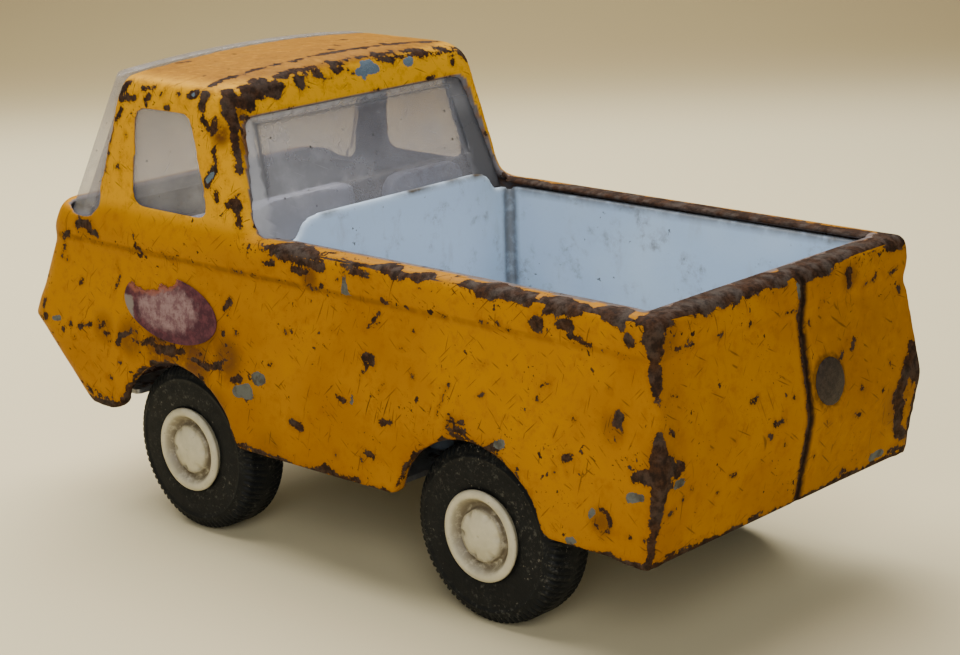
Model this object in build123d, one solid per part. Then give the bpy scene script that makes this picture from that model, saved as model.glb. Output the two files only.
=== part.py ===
from build123d import *

# Small pressed-steel toy pickup truck, in millimetres. +X is forward, +Y the truck's left and +Z up, with
# the origin on the ground below the middle of the truck. The body is one sheet-steel pressing, open below
# and closed by a riveted lap seam in the tail. The white bed liner, the cab interior and the clear window
# moulding go in from below, and a steel base plate, which carries both axles, holds them in.

import math
import os

# Driving dimensions
LENGTH = 140.0
HALF_WIDTH = 32.0
SHEET = 0.8
WHEEL_RADIUS = 14.0
FRONT_AXLE_X = 30.9
REAR_AXLE_X = -34.0

# Heights of the body's horizontal lines
SILL_Z = 17.8
NOSE_SILL_Z = 19.3
CREASE_Z = 30.8
BELT_Z = 46.4
RIM_Z = 52.3
ROOF_Z = 76.2

# Body below the belt line: the tail and the nose both run out to a crease
TAIL_X = -LENGTH / 2
NOSE_X = LENGTH / 2
TAIL_SILL_X = TAIL_X + 2.6
TAIL_BELT_X = TAIL_X + 2.3
NOSE_BELT_X = NOSE_X - 5.9
NOSE_SILL_X = NOSE_X - 15.8
BELT_HALF_WIDTH = 30.3
NOSE_CORNER_RADIUS = 6.0
TAIL_CORNER_RADIUS = 1.0

# Band between the belt line and the rim, standing proud of the panel below it
BAND_TAIL_X = TAIL_X + 1.6
BAND_NOSE_X = NOSE_X - 5.5
BAND_HALF_WIDTH = 31.0
BAND_LEAN = 0.3
BAND_NOSE_LEAN = 2.6
BAND_FOOT = 0.5
BAND_RADII = (1.9, 6.0)
RIM_RADIUS = 1.9
FLANGE_WIDTH = 5.1

# Cab above the rim
CAB_FOOT_Z = 48.0
CAB_TOP_Z = 74.6
CAB_REAR_X = 12.3
CAB_REAR_TOP_X = 19.0
CAB_FRONT_X = 58.2
CAB_FRONT_TOP_X = 46.6
CAB_HALF_WIDTH = 29.9
CAB_TOP_HALF_WIDTH = 28.2
ROOF_EDGE_RADIUS = 2.4
LEAST_RADIUS = 0.3
CAB_FRONT_RADIUS = 4.0
REAR_BEVEL = (1.0, 3.8)
PILLAR_FOOT_RADIUS = 3.5
PILLAR_WALL = 1.5
PILLAR_FOOT_X = 50.2
PILLAR_TOP_X = 43.0

# Cab openings
REAR_WINDOW_TOP_Z = 69.1
REAR_WINDOW_HALF_WIDTHS = (27.6, 24.0)
REAR_WINDOW_RADIUS = 0.9
SIDE_WINDOW = [(40.6, 54.5), (39.4, 69.5), (26.6, 69.7), (22.1, 54.3)]
SIDE_WINDOW_RADIUS = 1.6

# Wheel arches, with their edges turned inward
ARCH_RADIUS = 14.8
FRONT_ARCH_X = FRONT_AXLE_X - 0.3
ARCH_LIP = 2.3
ARCH_CORNER_RADIUS = 2.4

# Tail seam, its lap and its rivet
SEAM_Y = -2.8
SEAM_GAP = 1.0
LAP_WIDTH = 11.0
RIVET_Y = -7.9
RIVET_Z = 35.0
RIVET_HEAD_RADIUS = 3.6
RIVET_RADIUS = 1.6
RIVET_EDGE = 0.15
RIVET_DOME = 0.5
CORNER_SLIT_TOP_Z = 28.0
CORNER_SLIT_WIDTH = 0.5

# Grille in the upper face of the nose
GRILLE_HALF_WIDTH = 21.5
GRILLE_HALF_HEIGHT = 4.6
GRILLE_FLANGE = 1.5
GRILLE_SLATS = 4
HEADLAMP_Y = 16.6
HEADLAMP_RADIUS = 3.9

# Bed liner
WALL = 1.2
BED_HALF_WIDTH = 26.0
BED_REAR_X = -63.2
BED_FRONT_X = 8.6
BED_FLOOR_Z = 30.4
BED_TOP_Z = 51.2
BED_CORNER_RADIUS = 2.2
BULKHEAD_TOP_Z = 54.5
BULKHEAD_HALF_WIDTH = 22.8
BULKHEAD_CORNER_RADIUS = 4.6
GROOVE_WIDTH = 1.6
GROOVE_DEPTH = 0.6
PEG_RADIUS = 1.2
LINER_POSTS = [(x, y) for x in (-12.0, 2.0) for y in (-14.0, 14.0)]
POST_RADIUS = 2.2

# Cab interior
INTERIOR_REAR_X = 14.4
INTERIOR_FRONT_X = 54.0
INTERIOR_HALF_WIDTH = 27.6
INTERIOR_Z = 30.0
SEAT_BACK_X = 16.0
SEAT_TOP_Z = 55.5
SEAT_Y = 13.8
SEAT_WIDTH = 18.0
CUSHION_Z = 44.5
CUSHION_LENGTH = 15.0

# Window moulding
PANE = 1.0
PANE_CLEARANCE = 0.1
PANE_FOOT_Z = 50.3
PANEL_HALF_WIDTHS = (23.2, 21.8)
PANEL_LEVELS = (56.7, 68.2)
PANEL_DEPTH = 0.5

# Wheels and axles
AXLE_RADIUS = 1.6
RUNNING_CLEARANCE = 0.06
PRESSED_CLEARANCE = 0.01
AXLE_END_Y = 27.0
TYRE_OUTER_Y = 28.8
TYRE_WIDTH = 9.2
TYRE_SHOULDER = 2.2
HUB_FACE_Y = 29.6
HUB_RADIUS = 7.2
HUB_SEAT_RADIUS = 6.6
HUB_RECESS_RADII = (5.9, 4.6)
HUB_RECESS_DEPTH = 1.6
CAP_RADIUS = 4.4
CAP_Y = 29.9
BOSS_RADIUS = 3.0

# Base plate
BASE_Z = 18.6
BASE_THICKNESS = 0.8
SPINE_HALF_WIDTH = 18.2
BASE_HALF_WIDTH = 29.6
EAR_THICKNESS = 1.0
EAR_RADIUS = 3.6
WHEEL_ROOM = 1.6
NOSE_STEP = 1.3
STAKE_HEAD = (2.2, 0.8)

# Door decals
DECAL_X = 30.8
DECAL_Z = 38.3
DECAL_RADII = (11.4, 5.3)
DECAL_THICKNESS = 0.15

SIDES = {"left": 1, "right": -1}
AXLES = {"front": FRONT_AXLE_X, "rear": REAR_AXLE_X}
FAR = 90.0


def box(x, y, z):
    """A box given by its (low, high) pairs."""
    size = [high - low for low, high in (x, y, z)]
    return Pos(x[0], y[0], z[0]) * Box(*size, align=(Align.MIN, Align.MIN, Align.MIN))


def xz_face(points):
    """A closed outline seen from the side, with x and z as its coordinates."""
    return make_face(Polyline(*[(x, 0, z) for x, z in points], close=True))


def yz_face(points):
    """A closed outline seen from the end, with y and z as its coordinates."""
    return make_face(Polyline(*[(0, y, z) for y, z in points], close=True))


def through_y(face, low=-FAR, high=FAR):
    """An XZ outline made solid between two values of y."""
    return Pos(0, low, 0) * extrude(face, high - low, dir=(0, 1, 0))


def through_x(face, low=-FAR, high=FAR):
    """A YZ outline made solid between two values of x."""
    return Pos(low, 0, 0) * extrude(face, high - low, dir=(1, 0, 0))


def mirrored(points):
    """Points of an end outline, followed by their mirror images from the last to the first."""
    return points + [(-y, z) for y, z in reversed(points)]


def level(start, end, z):
    """Where the line from start to end, given as (x, z) or (y, z), reaches the height z."""
    return start[0] + (end[0] - start[0]) * (z - start[1]) / (end[1] - start[1])


def plan(rear, front, half_width, z, inset=0.0, radii=(TAIL_CORNER_RADIUS, NOSE_CORNER_RADIUS)):
    """An outline seen from above at the height z, with rounded corners, moved inward by inset."""
    rear, front, half_width = rear + inset, front - inset, half_width - inset
    corners = [(rear, -half_width), (front, -half_width), (front, half_width), (rear, half_width)]
    outline = make_face(Polyline(*corners, close=True))
    rear_radius, front_radius = radii
    if rear_radius:
        outline = fillet(outline.vertices().sort_by(Axis.X)[:2], rear_radius - inset / 2)
    outline = fillet(outline.vertices().sort_by(Axis.X)[-2:], front_radius - inset)
    return Pos(0, 0, z) * outline


def lower_block(inset=0.0, reach=0.0):
    """The body from the sill to the belt line, moved inward by inset and made longer by reach, up and down."""
    low, high = SILL_Z - reach, BELT_Z + reach
    tail_low = level((TAIL_SILL_X, SILL_Z), (TAIL_X, CREASE_Z), low)
    tail_high = level((TAIL_X, CREASE_Z), (TAIL_BELT_X, BELT_Z), high)
    nose_low = level((NOSE_SILL_X, SILL_Z), (NOSE_X, CREASE_Z), low)
    nose_high = level((NOSE_X, CREASE_Z), (NOSE_BELT_X, BELT_Z), high)
    wide_high = level((HALF_WIDTH, CREASE_Z), (BELT_HALF_WIDTH, BELT_Z), high)
    crease = plan(TAIL_X, NOSE_X, HALF_WIDTH, CREASE_Z, inset)
    below = loft([plan(tail_low, nose_low, HALF_WIDTH, low, inset), crease], ruled=True)
    above = loft([crease, plan(tail_high, nose_high, wide_high, high, inset)], ruled=True)
    return below + above


def band_block(inset=0.0):
    """The proud band from the belt line up to the rounded rim."""
    middle_z, rim_z = BELT_Z + BAND_FOOT, RIM_Z - inset
    foot = (BAND_TAIL_X + BAND_FOOT, BAND_NOSE_X - BAND_FOOT, BAND_HALF_WIDTH - BAND_FOOT, BELT_Z)
    rim = (BAND_TAIL_X + BAND_LEAN, BAND_NOSE_X - BAND_NOSE_LEAN, BAND_HALF_WIDTH - BAND_LEAN, rim_z)
    middle = (BAND_TAIL_X, BAND_NOSE_X, BAND_HALF_WIDTH, middle_z)
    foot, middle, rim = (plan(*outline, inset, BAND_RADII) for outline in (foot, middle, rim))
    upper = loft([middle, rim], ruled=True)
    upper = fillet(upper.faces().sort_by(Axis.Z)[-1].edges(), RIM_RADIUS - inset)
    return upper + loft([foot, middle], ruled=True)


def cab_rear_x(z):
    """Where the cab's leaning rear plane is at the height z."""
    return level((CAB_REAR_X, RIM_Z), (CAB_REAR_TOP_X, CAB_TOP_Z), z)


def cab_front_x(z):
    """Where the windscreen's leaning plane is at the height z."""
    return level((CAB_FRONT_X, RIM_Z), (CAB_FRONT_TOP_X, CAB_TOP_Z), z)


def cab_end(inset, foot_z):
    """The cab seen from the end: leaning sides under a crowned roof with rounded edges."""
    foot = level((CAB_HALF_WIDTH, RIM_Z), (CAB_TOP_HALF_WIDTH, CAB_TOP_Z), foot_z) - inset
    eave, eave_z = CAB_TOP_HALF_WIDTH - inset, CAB_TOP_Z - inset
    walls = Polyline((-eave, eave_z), (-foot, foot_z), (foot, foot_z), (eave, eave_z))
    crown = ThreePointArc((eave, eave_z), (0, ROOF_Z - inset), (-eave, eave_z))
    outline = make_face(walls + crown)
    eaves = outline.vertices().sort_by(Axis.Y)[-2:]
    return Plane.YZ * fillet(eaves, max(ROOF_EDGE_RADIUS - inset, LEAST_RADIUS))


def cab_slice(inset, foot_z, forward):
    """The cab's outline where a plane parallel to its rear, this far forward of it, cuts it."""
    low, high = foot_z - 5, ROOF_Z + 5
    corners = [
        (cab_rear_x(low) + forward, -FAR, low), (cab_rear_x(low) + forward, FAR, low),
        (cab_rear_x(high) + forward, FAR, high), (cab_rear_x(high) + forward, -FAR, high),
    ]
    plane = make_face(Polyline(*corners, close=True))
    return (plane & through_x(cab_end(inset, foot_z))).faces()[0]


def cab_block(inset=0.0, foot_z=CAB_FOOT_Z):
    """The whole cab above the rim, glazing included, with the bevel round its rear."""
    bevel_width, bevel_length = REAR_BEVEL
    levels = []
    for z in (foot_z, ROOF_Z + 4):
        half_width = level((CAB_HALF_WIDTH, RIM_Z), (CAB_TOP_HALF_WIDTH, CAB_TOP_Z), z)
        rear = cab_rear_x(z) + bevel_length
        levels.append(plan(rear, cab_front_x(z), half_width, z, inset, (0, CAB_FRONT_RADIUS)))
    block = loft(levels, ruled=True) & through_x(cab_end(inset, foot_z))
    rear = cab_slice(inset + bevel_width, foot_z, inset)
    return block + loft([rear, cab_slice(inset, foot_z, inset + bevel_length)], ruled=True)


def ahead_of_pillars(gap, foot_z):
    """All space ahead of the windscreen pillars' front edges, from foot_z up."""
    slope = ((PILLAR_FOOT_X, RIM_Z), (PILLAR_TOP_X, CAB_TOP_Z))
    return through_y(xz_face([
        (level(*slope, foot_z) + gap, foot_z), (level(*slope, ROOF_Z + 4) + gap, ROOF_Z + 4),
        (FAR, ROOF_Z + 4), (FAR, foot_z),
    ]))


def underside_outline():
    """Everything below the body's lower edge, seen from the side: two round arches that run out into the sill."""
    outline = make_face(Polyline((-FAR, 0), (-FAR, SILL_Z), (FRONT_ARCH_X, SILL_Z), (FRONT_ARCH_X, NOSE_SILL_Z),
                                 (FAR, NOSE_SILL_Z), (FAR, 0), close=True))
    centres = (FRONT_ARCH_X, REAR_AXLE_X)
    for x in centres:
        outline += Pos(x, WHEEL_RADIUS) * Circle(ARCH_RADIUS)
    corners = ShapeList()
    for vertex in outline.vertices():
        reach = min(abs(vertex.X - x) for x in centres)
        if 1 < reach < ARCH_RADIUS and vertex.Y > WHEEL_RADIUS:
            corners.append(vertex)
    return fillet(corners, ARCH_CORNER_RADIUS)


def turned_lips(outer):
    """The inward-turned edges that run round each wheel arch."""
    outline = underside_outline()
    ring = through_y(Plane.XZ * offset(outline, SHEET)) - through_y(Plane.XZ * outline)
    core = box((-FAR, FAR), (ARCH_LIP - HALF_WIDTH, HALF_WIDTH - ARCH_LIP), (0, FAR))
    near_wheels = Part()
    for x in AXLES.values():
        reach = ARCH_RADIUS + ARCH_CORNER_RADIUS
        near_wheels += box((x - reach, x + reach), (-FAR, FAR), (0, CREASE_Z))
    return (ring - core) & near_wheels & outer


def bed_opening():
    """The opening of the bed through the rim, with a small notch where the flanges meet at each rear corner."""
    rear = BAND_TAIL_X + FLANGE_WIDTH
    side = BAND_HALF_WIDTH - FLANGE_WIDTH
    opening = box((rear, CAB_REAR_X), (-side, side), (CAB_FOOT_Z, RIM_Z + 0.1))
    for sign in SIDES.values():
        notch = Polyline((rear + 1.2, sign * (side - 0.3)), (rear - 1.3, sign * (side + 1.3)),
                         (rear + 0.3, sign * (side - 1.2)), close=True)
        opening += Pos(0, 0, RIM_Z - 2.5) * extrude(make_face(notch), 6, dir=(0, 0, 1))
    return opening


def rear_window():
    """The wide opening in the back of the cab, which flares out at its foot into the bed."""
    foot, top = REAR_WINDOW_HALF_WIDTHS
    outline = yz_face(mirrored([(foot, CAB_FOOT_Z), (foot, RIM_Z), (top, REAR_WINDOW_TOP_Z)]))
    outline = fillet(outline.vertices().sort_by(Axis.Z)[-2:], REAR_WINDOW_RADIUS)
    return through_x(outline, CAB_REAR_X - 2, CAB_REAR_TOP_X + 3)


def pillar_feet():
    """The hollow curve in which each rear pillar's back runs out on to the rim."""
    foot, top = RIM_Z - SHEET, RIM_Z + 2 * PILLAR_FOOT_RADIUS
    outline = xz_face([(0, foot), (0, RIM_Z), (CAB_REAR_X, RIM_Z), (cab_rear_x(top), top),
                       (cab_rear_x(top) + SHEET, top), (cab_rear_x(foot) + SHEET, foot)])
    corner = [v for v in outline.vertices() if abs(v.X - CAB_REAR_X) < 0.01]
    curve = through_y(fillet(corner, PILLAR_FOOT_RADIUS))
    inset = REAR_BEVEL[0] - 0.1
    wall = through_x(cab_end(inset, RIM_Z - 1)) - through_x(cab_end(inset + PILLAR_WALL, RIM_Z - 2))
    reach = 2 * PILLAR_FOOT_RADIUS
    return curve & wall & box((CAB_REAR_X - reach, FAR), (-FAR, FAR), (foot, top - PILLAR_FOOT_RADIUS))


def side_windows():
    """The side window openings, through both doors."""
    outline = xz_face(SIDE_WINDOW)
    return through_y(fillet(outline.vertices(), SIDE_WINDOW_RADIUS))


def tail_plane(y, z, lift=0.0):
    """A plane on the upper face of the tail, facing out, lift above its surface."""
    x = level((TAIL_X, CREASE_Z), (TAIL_BELT_X, BELT_Z), z)
    lean = math.atan2(TAIL_BELT_X - TAIL_X, BELT_Z - CREASE_Z)
    normal = Vector(-math.cos(lean), 0, math.sin(lean))
    return Plane(Vector(x, y, z) + normal * lift, x_dir=(0, 1, 0), z_dir=normal)


def nose_plane(lift=0.0):
    """A plane on the upper face of the nose, facing out, at the middle of the grille."""
    z = (CREASE_Z + BELT_Z) / 2
    x = level((NOSE_X, CREASE_Z), (NOSE_BELT_X, BELT_Z), z)
    lean = math.atan2(NOSE_X - NOSE_BELT_X, BELT_Z - CREASE_Z)
    normal = Vector(math.cos(lean), 0, math.sin(lean))
    return Plane(Vector(x, 0, z) + normal * lift, x_dir=(0, 1, 0), z_dir=normal)


def side_plane(sign, x, z, lift=0.0):
    """A plane on a door, facing out, lift above its surface."""
    y = level((HALF_WIDTH, CREASE_Z), (BELT_HALF_WIDTH, BELT_Z), z)
    lean = math.atan2(HALF_WIDTH - BELT_HALF_WIDTH, BELT_Z - CREASE_Z)
    normal = Vector(0, sign * math.cos(lean), math.sin(lean))
    return Plane(Vector(x, sign * y, z) + normal * lift, x_dir=(1, 0, 0), z_dir=normal)


def tail_lap():
    """The strip of the left sheet that runs on behind the right sheet at the tail seam."""
    strip = box((TAIL_X - 1, TAIL_X + 12), (SEAM_Y - LAP_WIDTH, SEAM_Y + 2), (SILL_Z + 0.5, BELT_Z - 1))
    behind = lower_block(SHEET, 4) - lower_block(2 * SHEET, 8)
    return strip & behind


def body_shell():
    """The sheet-steel pressing: nose, bonnet, cab roof and pillars, bed sides and tail."""
    outer = lower_block() + band_block() + (cab_block() - ahead_of_pillars(0, RIM_Z))
    hollow = lower_block(SHEET, 4) + band_block(SHEET) + cab_block(SHEET, BELT_Z)
    shell = outer - hollow + turned_lips(outer)
    shell -= through_y(Plane.XZ * underside_outline())
    shell += pillar_feet()
    shell -= bed_opening()
    shell -= rear_window()
    shell -= side_windows()
    shell -= ahead_of_pillars(0.2, BELT_Z) & cab_block(-PANE_CLEARANCE, BELT_Z)
    shell -= box((TAIL_X - 2, TAIL_X + 12), (SEAM_Y - SEAM_GAP / 2, SEAM_Y + SEAM_GAP / 2), (0, FAR))
    shell += tail_lap()
    shell -= tail_plane(RIVET_Y, RIVET_Z) * Cylinder(RIVET_RADIUS, 12)
    for sign in SIDES.values():
        slit = Pos(TAIL_X + 2, sign * (HALF_WIDTH - 1), 0) * Rot(0, 0, sign * -40)
        slit *= Pos(0, 0, CORNER_SLIT_TOP_Z / 2) * Box(12, CORNER_SLIT_WIDTH, CORNER_SLIT_TOP_Z)
        shell -= slit
    shell -= nose_plane() * Box(2 * GRILLE_HALF_WIDTH, 2 * GRILLE_HALF_HEIGHT, 6)
    return shell


def tail_rivet():
    """The low-domed rivet that clinches the tail seam, with its peened head inside."""
    head = Pos(0, 0, RIVET_EDGE / 2) * Cylinder(RIVET_HEAD_RADIUS, RIVET_EDGE)
    dome = tail_cap(RIVET_HEAD_RADIUS, RIVET_DOME, RIVET_EDGE)
    shank_length = 2 * SHEET + BASE_THICKNESS + 0.1
    shank = Pos(0, 0, -shank_length / 2) * Cylinder(RIVET_RADIUS - PRESSED_CLEARANCE, shank_length)
    peened = Pos(0, 0, -shank_length - 0.4) * Cylinder(RIVET_RADIUS + 1, 0.8)
    return tail_plane(RIVET_Y, RIVET_Z) * (head + dome + shank + peened)


def tail_cap(radius, rise, base):
    """A shallow dome of the given radius and rise, whose flat side is at the height base."""
    profile = make_face(Line((0, base), (radius, base))
                        + ThreePointArc((radius, base), (radius * 0.55, base + rise * 0.72), (0, base + rise))
                        + Line((0, base + rise), (0, base)))
    return revolve(Plane.XZ * profile, Axis.Z)


def grille():
    """The grille: a flange behind the nose sheet, a framed panel in its opening, slats and headlamp forms."""
    fit = 0.15
    wide, high = 2 * (GRILLE_HALF_WIDTH - fit), 2 * (GRILLE_HALF_HEIGHT - fit)
    back = Pos(0, 0, -SHEET - 0.85) * Box(wide + 2 * GRILLE_FLANGE, high + 2 * GRILLE_FLANGE, 1.2)
    frame = Pos(0, 0, -0.75) * (Box(wide, high, 1.4) - Box(wide - 1.6, high - 1.6, 2))
    lamps, slats = Part(), Part()
    for sign in SIDES.values():
        ring = Cylinder(HEADLAMP_RADIUS, 1.5) - Cylinder(HEADLAMP_RADIUS - 0.7, 2)
        lens = Pos(0, 0, -0.45) * Cylinder(HEADLAMP_RADIUS - 0.9, 0.7)
        lamps += Pos(sign * HEADLAMP_Y, 0, -0.8) * (ring + lens)
    slat_length = 2 * (HEADLAMP_Y - HEADLAMP_RADIUS - 0.8)
    for index in range(GRILLE_SLATS):
        height = (index - (GRILLE_SLATS - 1) / 2) * 1.7
        slats += Pos(0, height, -0.9) * Box(slat_length, 0.8, 1.1)
    return nose_plane() * (back + frame + lamps + slats)


def bed_liner():
    """The moulded tub in the bed, with a raised bulkhead, grooved front corners and pegs to the base plate."""
    outer = rounded_box((BED_REAR_X - WALL, BED_FRONT_X + WALL), BED_HALF_WIDTH + WALL,
                        (BED_FLOOR_Z - WALL, BED_TOP_Z), BED_CORNER_RADIUS + WALL)
    inner = rounded_box((BED_REAR_X, BED_FRONT_X), BED_HALF_WIDTH, (BED_FLOOR_Z, FAR), BED_CORNER_RADIUS)
    tub = outer - inner
    wide, top = BULKHEAD_HALF_WIDTH, BULKHEAD_TOP_Z
    bulkhead = yz_face([(-wide, BED_FLOOR_Z), (-wide, top), (wide, top), (wide, BED_FLOOR_Z)])
    bulkhead = fillet(bulkhead.vertices().sort_by(Axis.Z)[-2:], BULKHEAD_CORNER_RADIUS)
    tub += through_x(bulkhead, BED_FRONT_X, BED_FRONT_X + WALL)
    for sign in SIDES.values():
        groove = Pos(BED_FRONT_X - BED_CORNER_RADIUS / 2, sign * (BED_HALF_WIDTH - BED_CORNER_RADIUS / 2), 0)
        groove *= Rot(0, 0, sign * -45) * box((-GROOVE_WIDTH / 2, GROOVE_WIDTH / 2), (-2, 2), (BED_FLOOR_Z, FAR))
        keep = rounded_box((BED_REAR_X, BED_FRONT_X + GROOVE_DEPTH), BED_HALF_WIDTH + GROOVE_DEPTH,
                           (BED_FLOOR_Z, FAR), BED_CORNER_RADIUS)
        tub -= groove & keep
    for x, y in LINER_POSTS:
        post = Cylinder(POST_RADIUS, BED_FLOOR_Z - WALL - BASE_Z - BASE_THICKNESS,
                        align=(Align.CENTER, Align.CENTER, Align.MIN))
        peg = Cylinder(PEG_RADIUS, BASE_THICKNESS + 1, align=(Align.CENTER, Align.CENTER, Align.MIN))
        tub += Pos(x, y, BASE_Z + BASE_THICKNESS) * post + Pos(x, y, BASE_Z) * peg
    return tub


def rounded_box(x, half_width, z, radius):
    """A box centred on y with its four upright edges rounded."""
    block = box(x, (-half_width, half_width), z)
    return fillet(block.edges().filter_by(Axis.Z), radius)


def liner_caps():
    """The four heads formed on the ends of the liner's pegs, under the base plate."""
    radius, height = STAKE_HEAD
    caps = []
    for x, y in LINER_POSTS:
        cap = Pos(x, y, BASE_Z - height / 2) * Cylinder(radius, height)
        caps.append(chamfer(cap.edges().sort_by(Axis.Z)[0], 0.3))
    return Compound(children=caps)


def seat_moulding():
    """The cab interior: a floor tray with its walls, two seats with rounded backs, and a dashboard."""
    wide = INTERIOR_HALF_WIDTH
    floor = box((INTERIOR_REAR_X, INTERIOR_FRONT_X), (-wide, wide), (INTERIOR_Z, INTERIOR_Z + WALL))
    apron = box((INTERIOR_REAR_X, INTERIOR_REAR_X + WALL), (-wide, wide), (INTERIOR_Z, CUSHION_Z))
    dash = box((INTERIOR_FRONT_X - 6, INTERIOR_FRONT_X), (-wide, wide), (INTERIOR_Z, BELT_Z))
    tray = floor + apron + fillet(dash.edges().filter_by(Axis.Y).sort_by(Axis.Z)[-2:], 1.5)
    for sign in SIDES.values():
        y = (sign * SEAT_Y - SEAT_WIDTH / 2, sign * SEAT_Y + SEAT_WIDTH / 2)
        cushion = box((SEAT_BACK_X, SEAT_BACK_X + CUSHION_LENGTH), y, (INTERIOR_Z, CUSHION_Z))
        tray += fillet(cushion.edges().filter_by(Axis.Y).sort_by(Axis.Z)[-1:], 2)
        back = box((SEAT_BACK_X, SEAT_BACK_X + 2.4), y, (CUSHION_Z - 2, SEAT_TOP_Z))
        tray += fillet(back.edges().filter_by(Axis.X).sort_by(Axis.Z)[-2:], 3)
    for y in (-12.0, 12.0):
        height = INTERIOR_Z - BASE_Z - BASE_THICKNESS
        tray += Pos(FRONT_AXLE_X, y, BASE_Z + BASE_THICKNESS) * Cylinder(
            POST_RADIUS, height, align=(Align.CENTER, Align.CENTER, Align.MIN))
    return tray


def window_moulding():
    """The clear moulding: panes that lie inside the cab, and a windscreen that fills the space ahead."""
    skin = SHEET + PANE_CLEARANCE
    ahead = ahead_of_pillars(0.3, RIM_Z + 0.1) & cab_block(PANE_CLEARANCE)
    neck = ahead_of_pillars(SHEET + 0.4, PANE_FOOT_Z) & cab_block(2 * PANE_CLEARANCE, PANE_FOOT_Z - 1)
    outer = cab_block(skin, PANE_FOOT_Z) + ahead + neck
    return outer - cab_block(skin + PANE, PANE_FOOT_Z - 2) - rear_panel(skin)


def rear_panel(skin):
    """The shallow sunk panel in the outside of the rear pane."""
    (low_half, high_half), (low, high) = PANEL_HALF_WIDTHS, PANEL_LEVELS
    outline = yz_face(mirrored([(low_half, low), (high_half, high)]))
    depth = skin + PANEL_DEPTH
    slab = xz_face([(cab_rear_x(low - 2) - 3, low - 2), (cab_rear_x(low - 2) + depth, low - 2),
                    (cab_rear_x(high + 2) + depth, high + 2), (cab_rear_x(high + 2) - 3, high + 2)])
    return through_x(outline) & through_y(slab)


def plate_outline():
    """The base plate seen from above: a spine between the wheels, and wings before, between and behind them."""
    clear = WHEEL_RADIUS + WHEEL_ROOM
    tail, nose = TAIL_SILL_X + 1.6, NOSE_SILL_X - 1.4
    step_x = FRONT_AXLE_X + clear
    z = (BASE_Z, BASE_Z + BASE_THICKNESS)
    raised = (BASE_Z + NOSE_STEP, BASE_Z + BASE_THICKNESS + NOSE_STEP)
    plate = box((tail, step_x + BASE_THICKNESS), (-SPINE_HALF_WIDTH, SPINE_HALF_WIDTH), z)
    plate += rounded_box((tail, REAR_AXLE_X - clear), BASE_HALF_WIDTH, z, 1.0)
    plate += rounded_box((REAR_AXLE_X + clear, FRONT_AXLE_X - clear), BASE_HALF_WIDTH, z, 1.0)
    plate += rounded_box((step_x, nose), BASE_HALF_WIDTH - 3, raised, 1.0)
    plate += box((step_x, step_x + BASE_THICKNESS), (-SPINE_HALF_WIDTH, SPINE_HALF_WIDTH), (z[0], raised[1]))
    return plate


def tail_tongue():
    """The base plate's tongue, which turns up behind the tail and takes the rivet."""
    gap = 2 * SHEET + 0.1
    sill = TAIL_SILL_X + gap
    crease = TAIL_X + gap
    top_z = RIVET_Z + 4
    top = level((TAIL_X, CREASE_Z), (TAIL_BELT_X, BELT_Z), top_z) + gap
    thick = BASE_THICKNESS
    outline = xz_face([
        (sill, BASE_Z), (crease, CREASE_Z), (top, top_z),
        (top + thick, top_z), (crease + thick, CREASE_Z), (sill + thick, BASE_Z),
    ])
    return through_y(outline, RIVET_Y - 4, RIVET_Y + 4)


def base_plate():
    """The underside plate, with four ears that carry the axles and a tongue up to the tail's rivet."""
    plate = plate_outline() + tail_tongue()
    plate -= tail_plane(RIVET_Y, RIVET_Z) * Cylinder(RIVET_RADIUS, 12)
    for x in AXLES.values():
        for sign in SIDES.values():
            ear = box((x - EAR_RADIUS, x + EAR_RADIUS), (0, EAR_THICKNESS), (WHEEL_RADIUS, BASE_Z + 0.4))
            ear += Pos(x, EAR_THICKNESS / 2, WHEEL_RADIUS) * Rot(90, 0, 0) * Cylinder(EAR_RADIUS, EAR_THICKNESS)
            shift = SPINE_HALF_WIDTH - EAR_THICKNESS if sign > 0 else -SPINE_HALF_WIDTH
            plate += Pos(0, shift, 0) * ear
        plate -= Pos(x, 0, WHEEL_RADIUS) * Rot(90, 0, 0) * Cylinder(AXLE_RADIUS + RUNNING_CLEARANCE, FAR)
    for x, y in LINER_POSTS:
        plate -= Pos(x, y, BASE_Z) * Cylinder(PEG_RADIUS + 0.1, 4)
    return plate


def axle(x):
    """A plain steel rod with chamfered ends."""
    rod = chamfer(Cylinder(AXLE_RADIUS, 2 * AXLE_END_Y).edges().filter_by(GeomType.CIRCLE), 0.3)
    return Pos(x, 0, WHEEL_RADIUS) * Rot(90, 0, 0) * rod


def turned(points, x, sign):
    """A body of revolution about a wheel's axis, from (distance out, radius) points."""
    outline = make_face(Polyline(*[(radius, out) for out, radius in points], close=True))
    solid = revolve(Plane.XZ * outline, Axis.Z)
    return Pos(x, 0, WHEEL_RADIUS) * Rot(-90 * sign, 0, 0) * solid


def tyre(x, sign):
    """A rubber tyre with rounded shoulders, seated on its hub."""
    inner_y = TYRE_OUTER_Y - TYRE_WIDTH
    bore = HUB_SEAT_RADIUS + PRESSED_CLEARANCE
    blank = turned([(inner_y, bore), (TYRE_OUTER_Y, bore), (TYRE_OUTER_Y, WHEEL_RADIUS),
                    (inner_y, WHEEL_RADIUS)], x, sign)
    rims = blank.edges().filter_by(GeomType.CIRCLE).group_by(SortBy.RADIUS)[-1]
    return fillet(rims, TYRE_SHOULDER)


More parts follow.
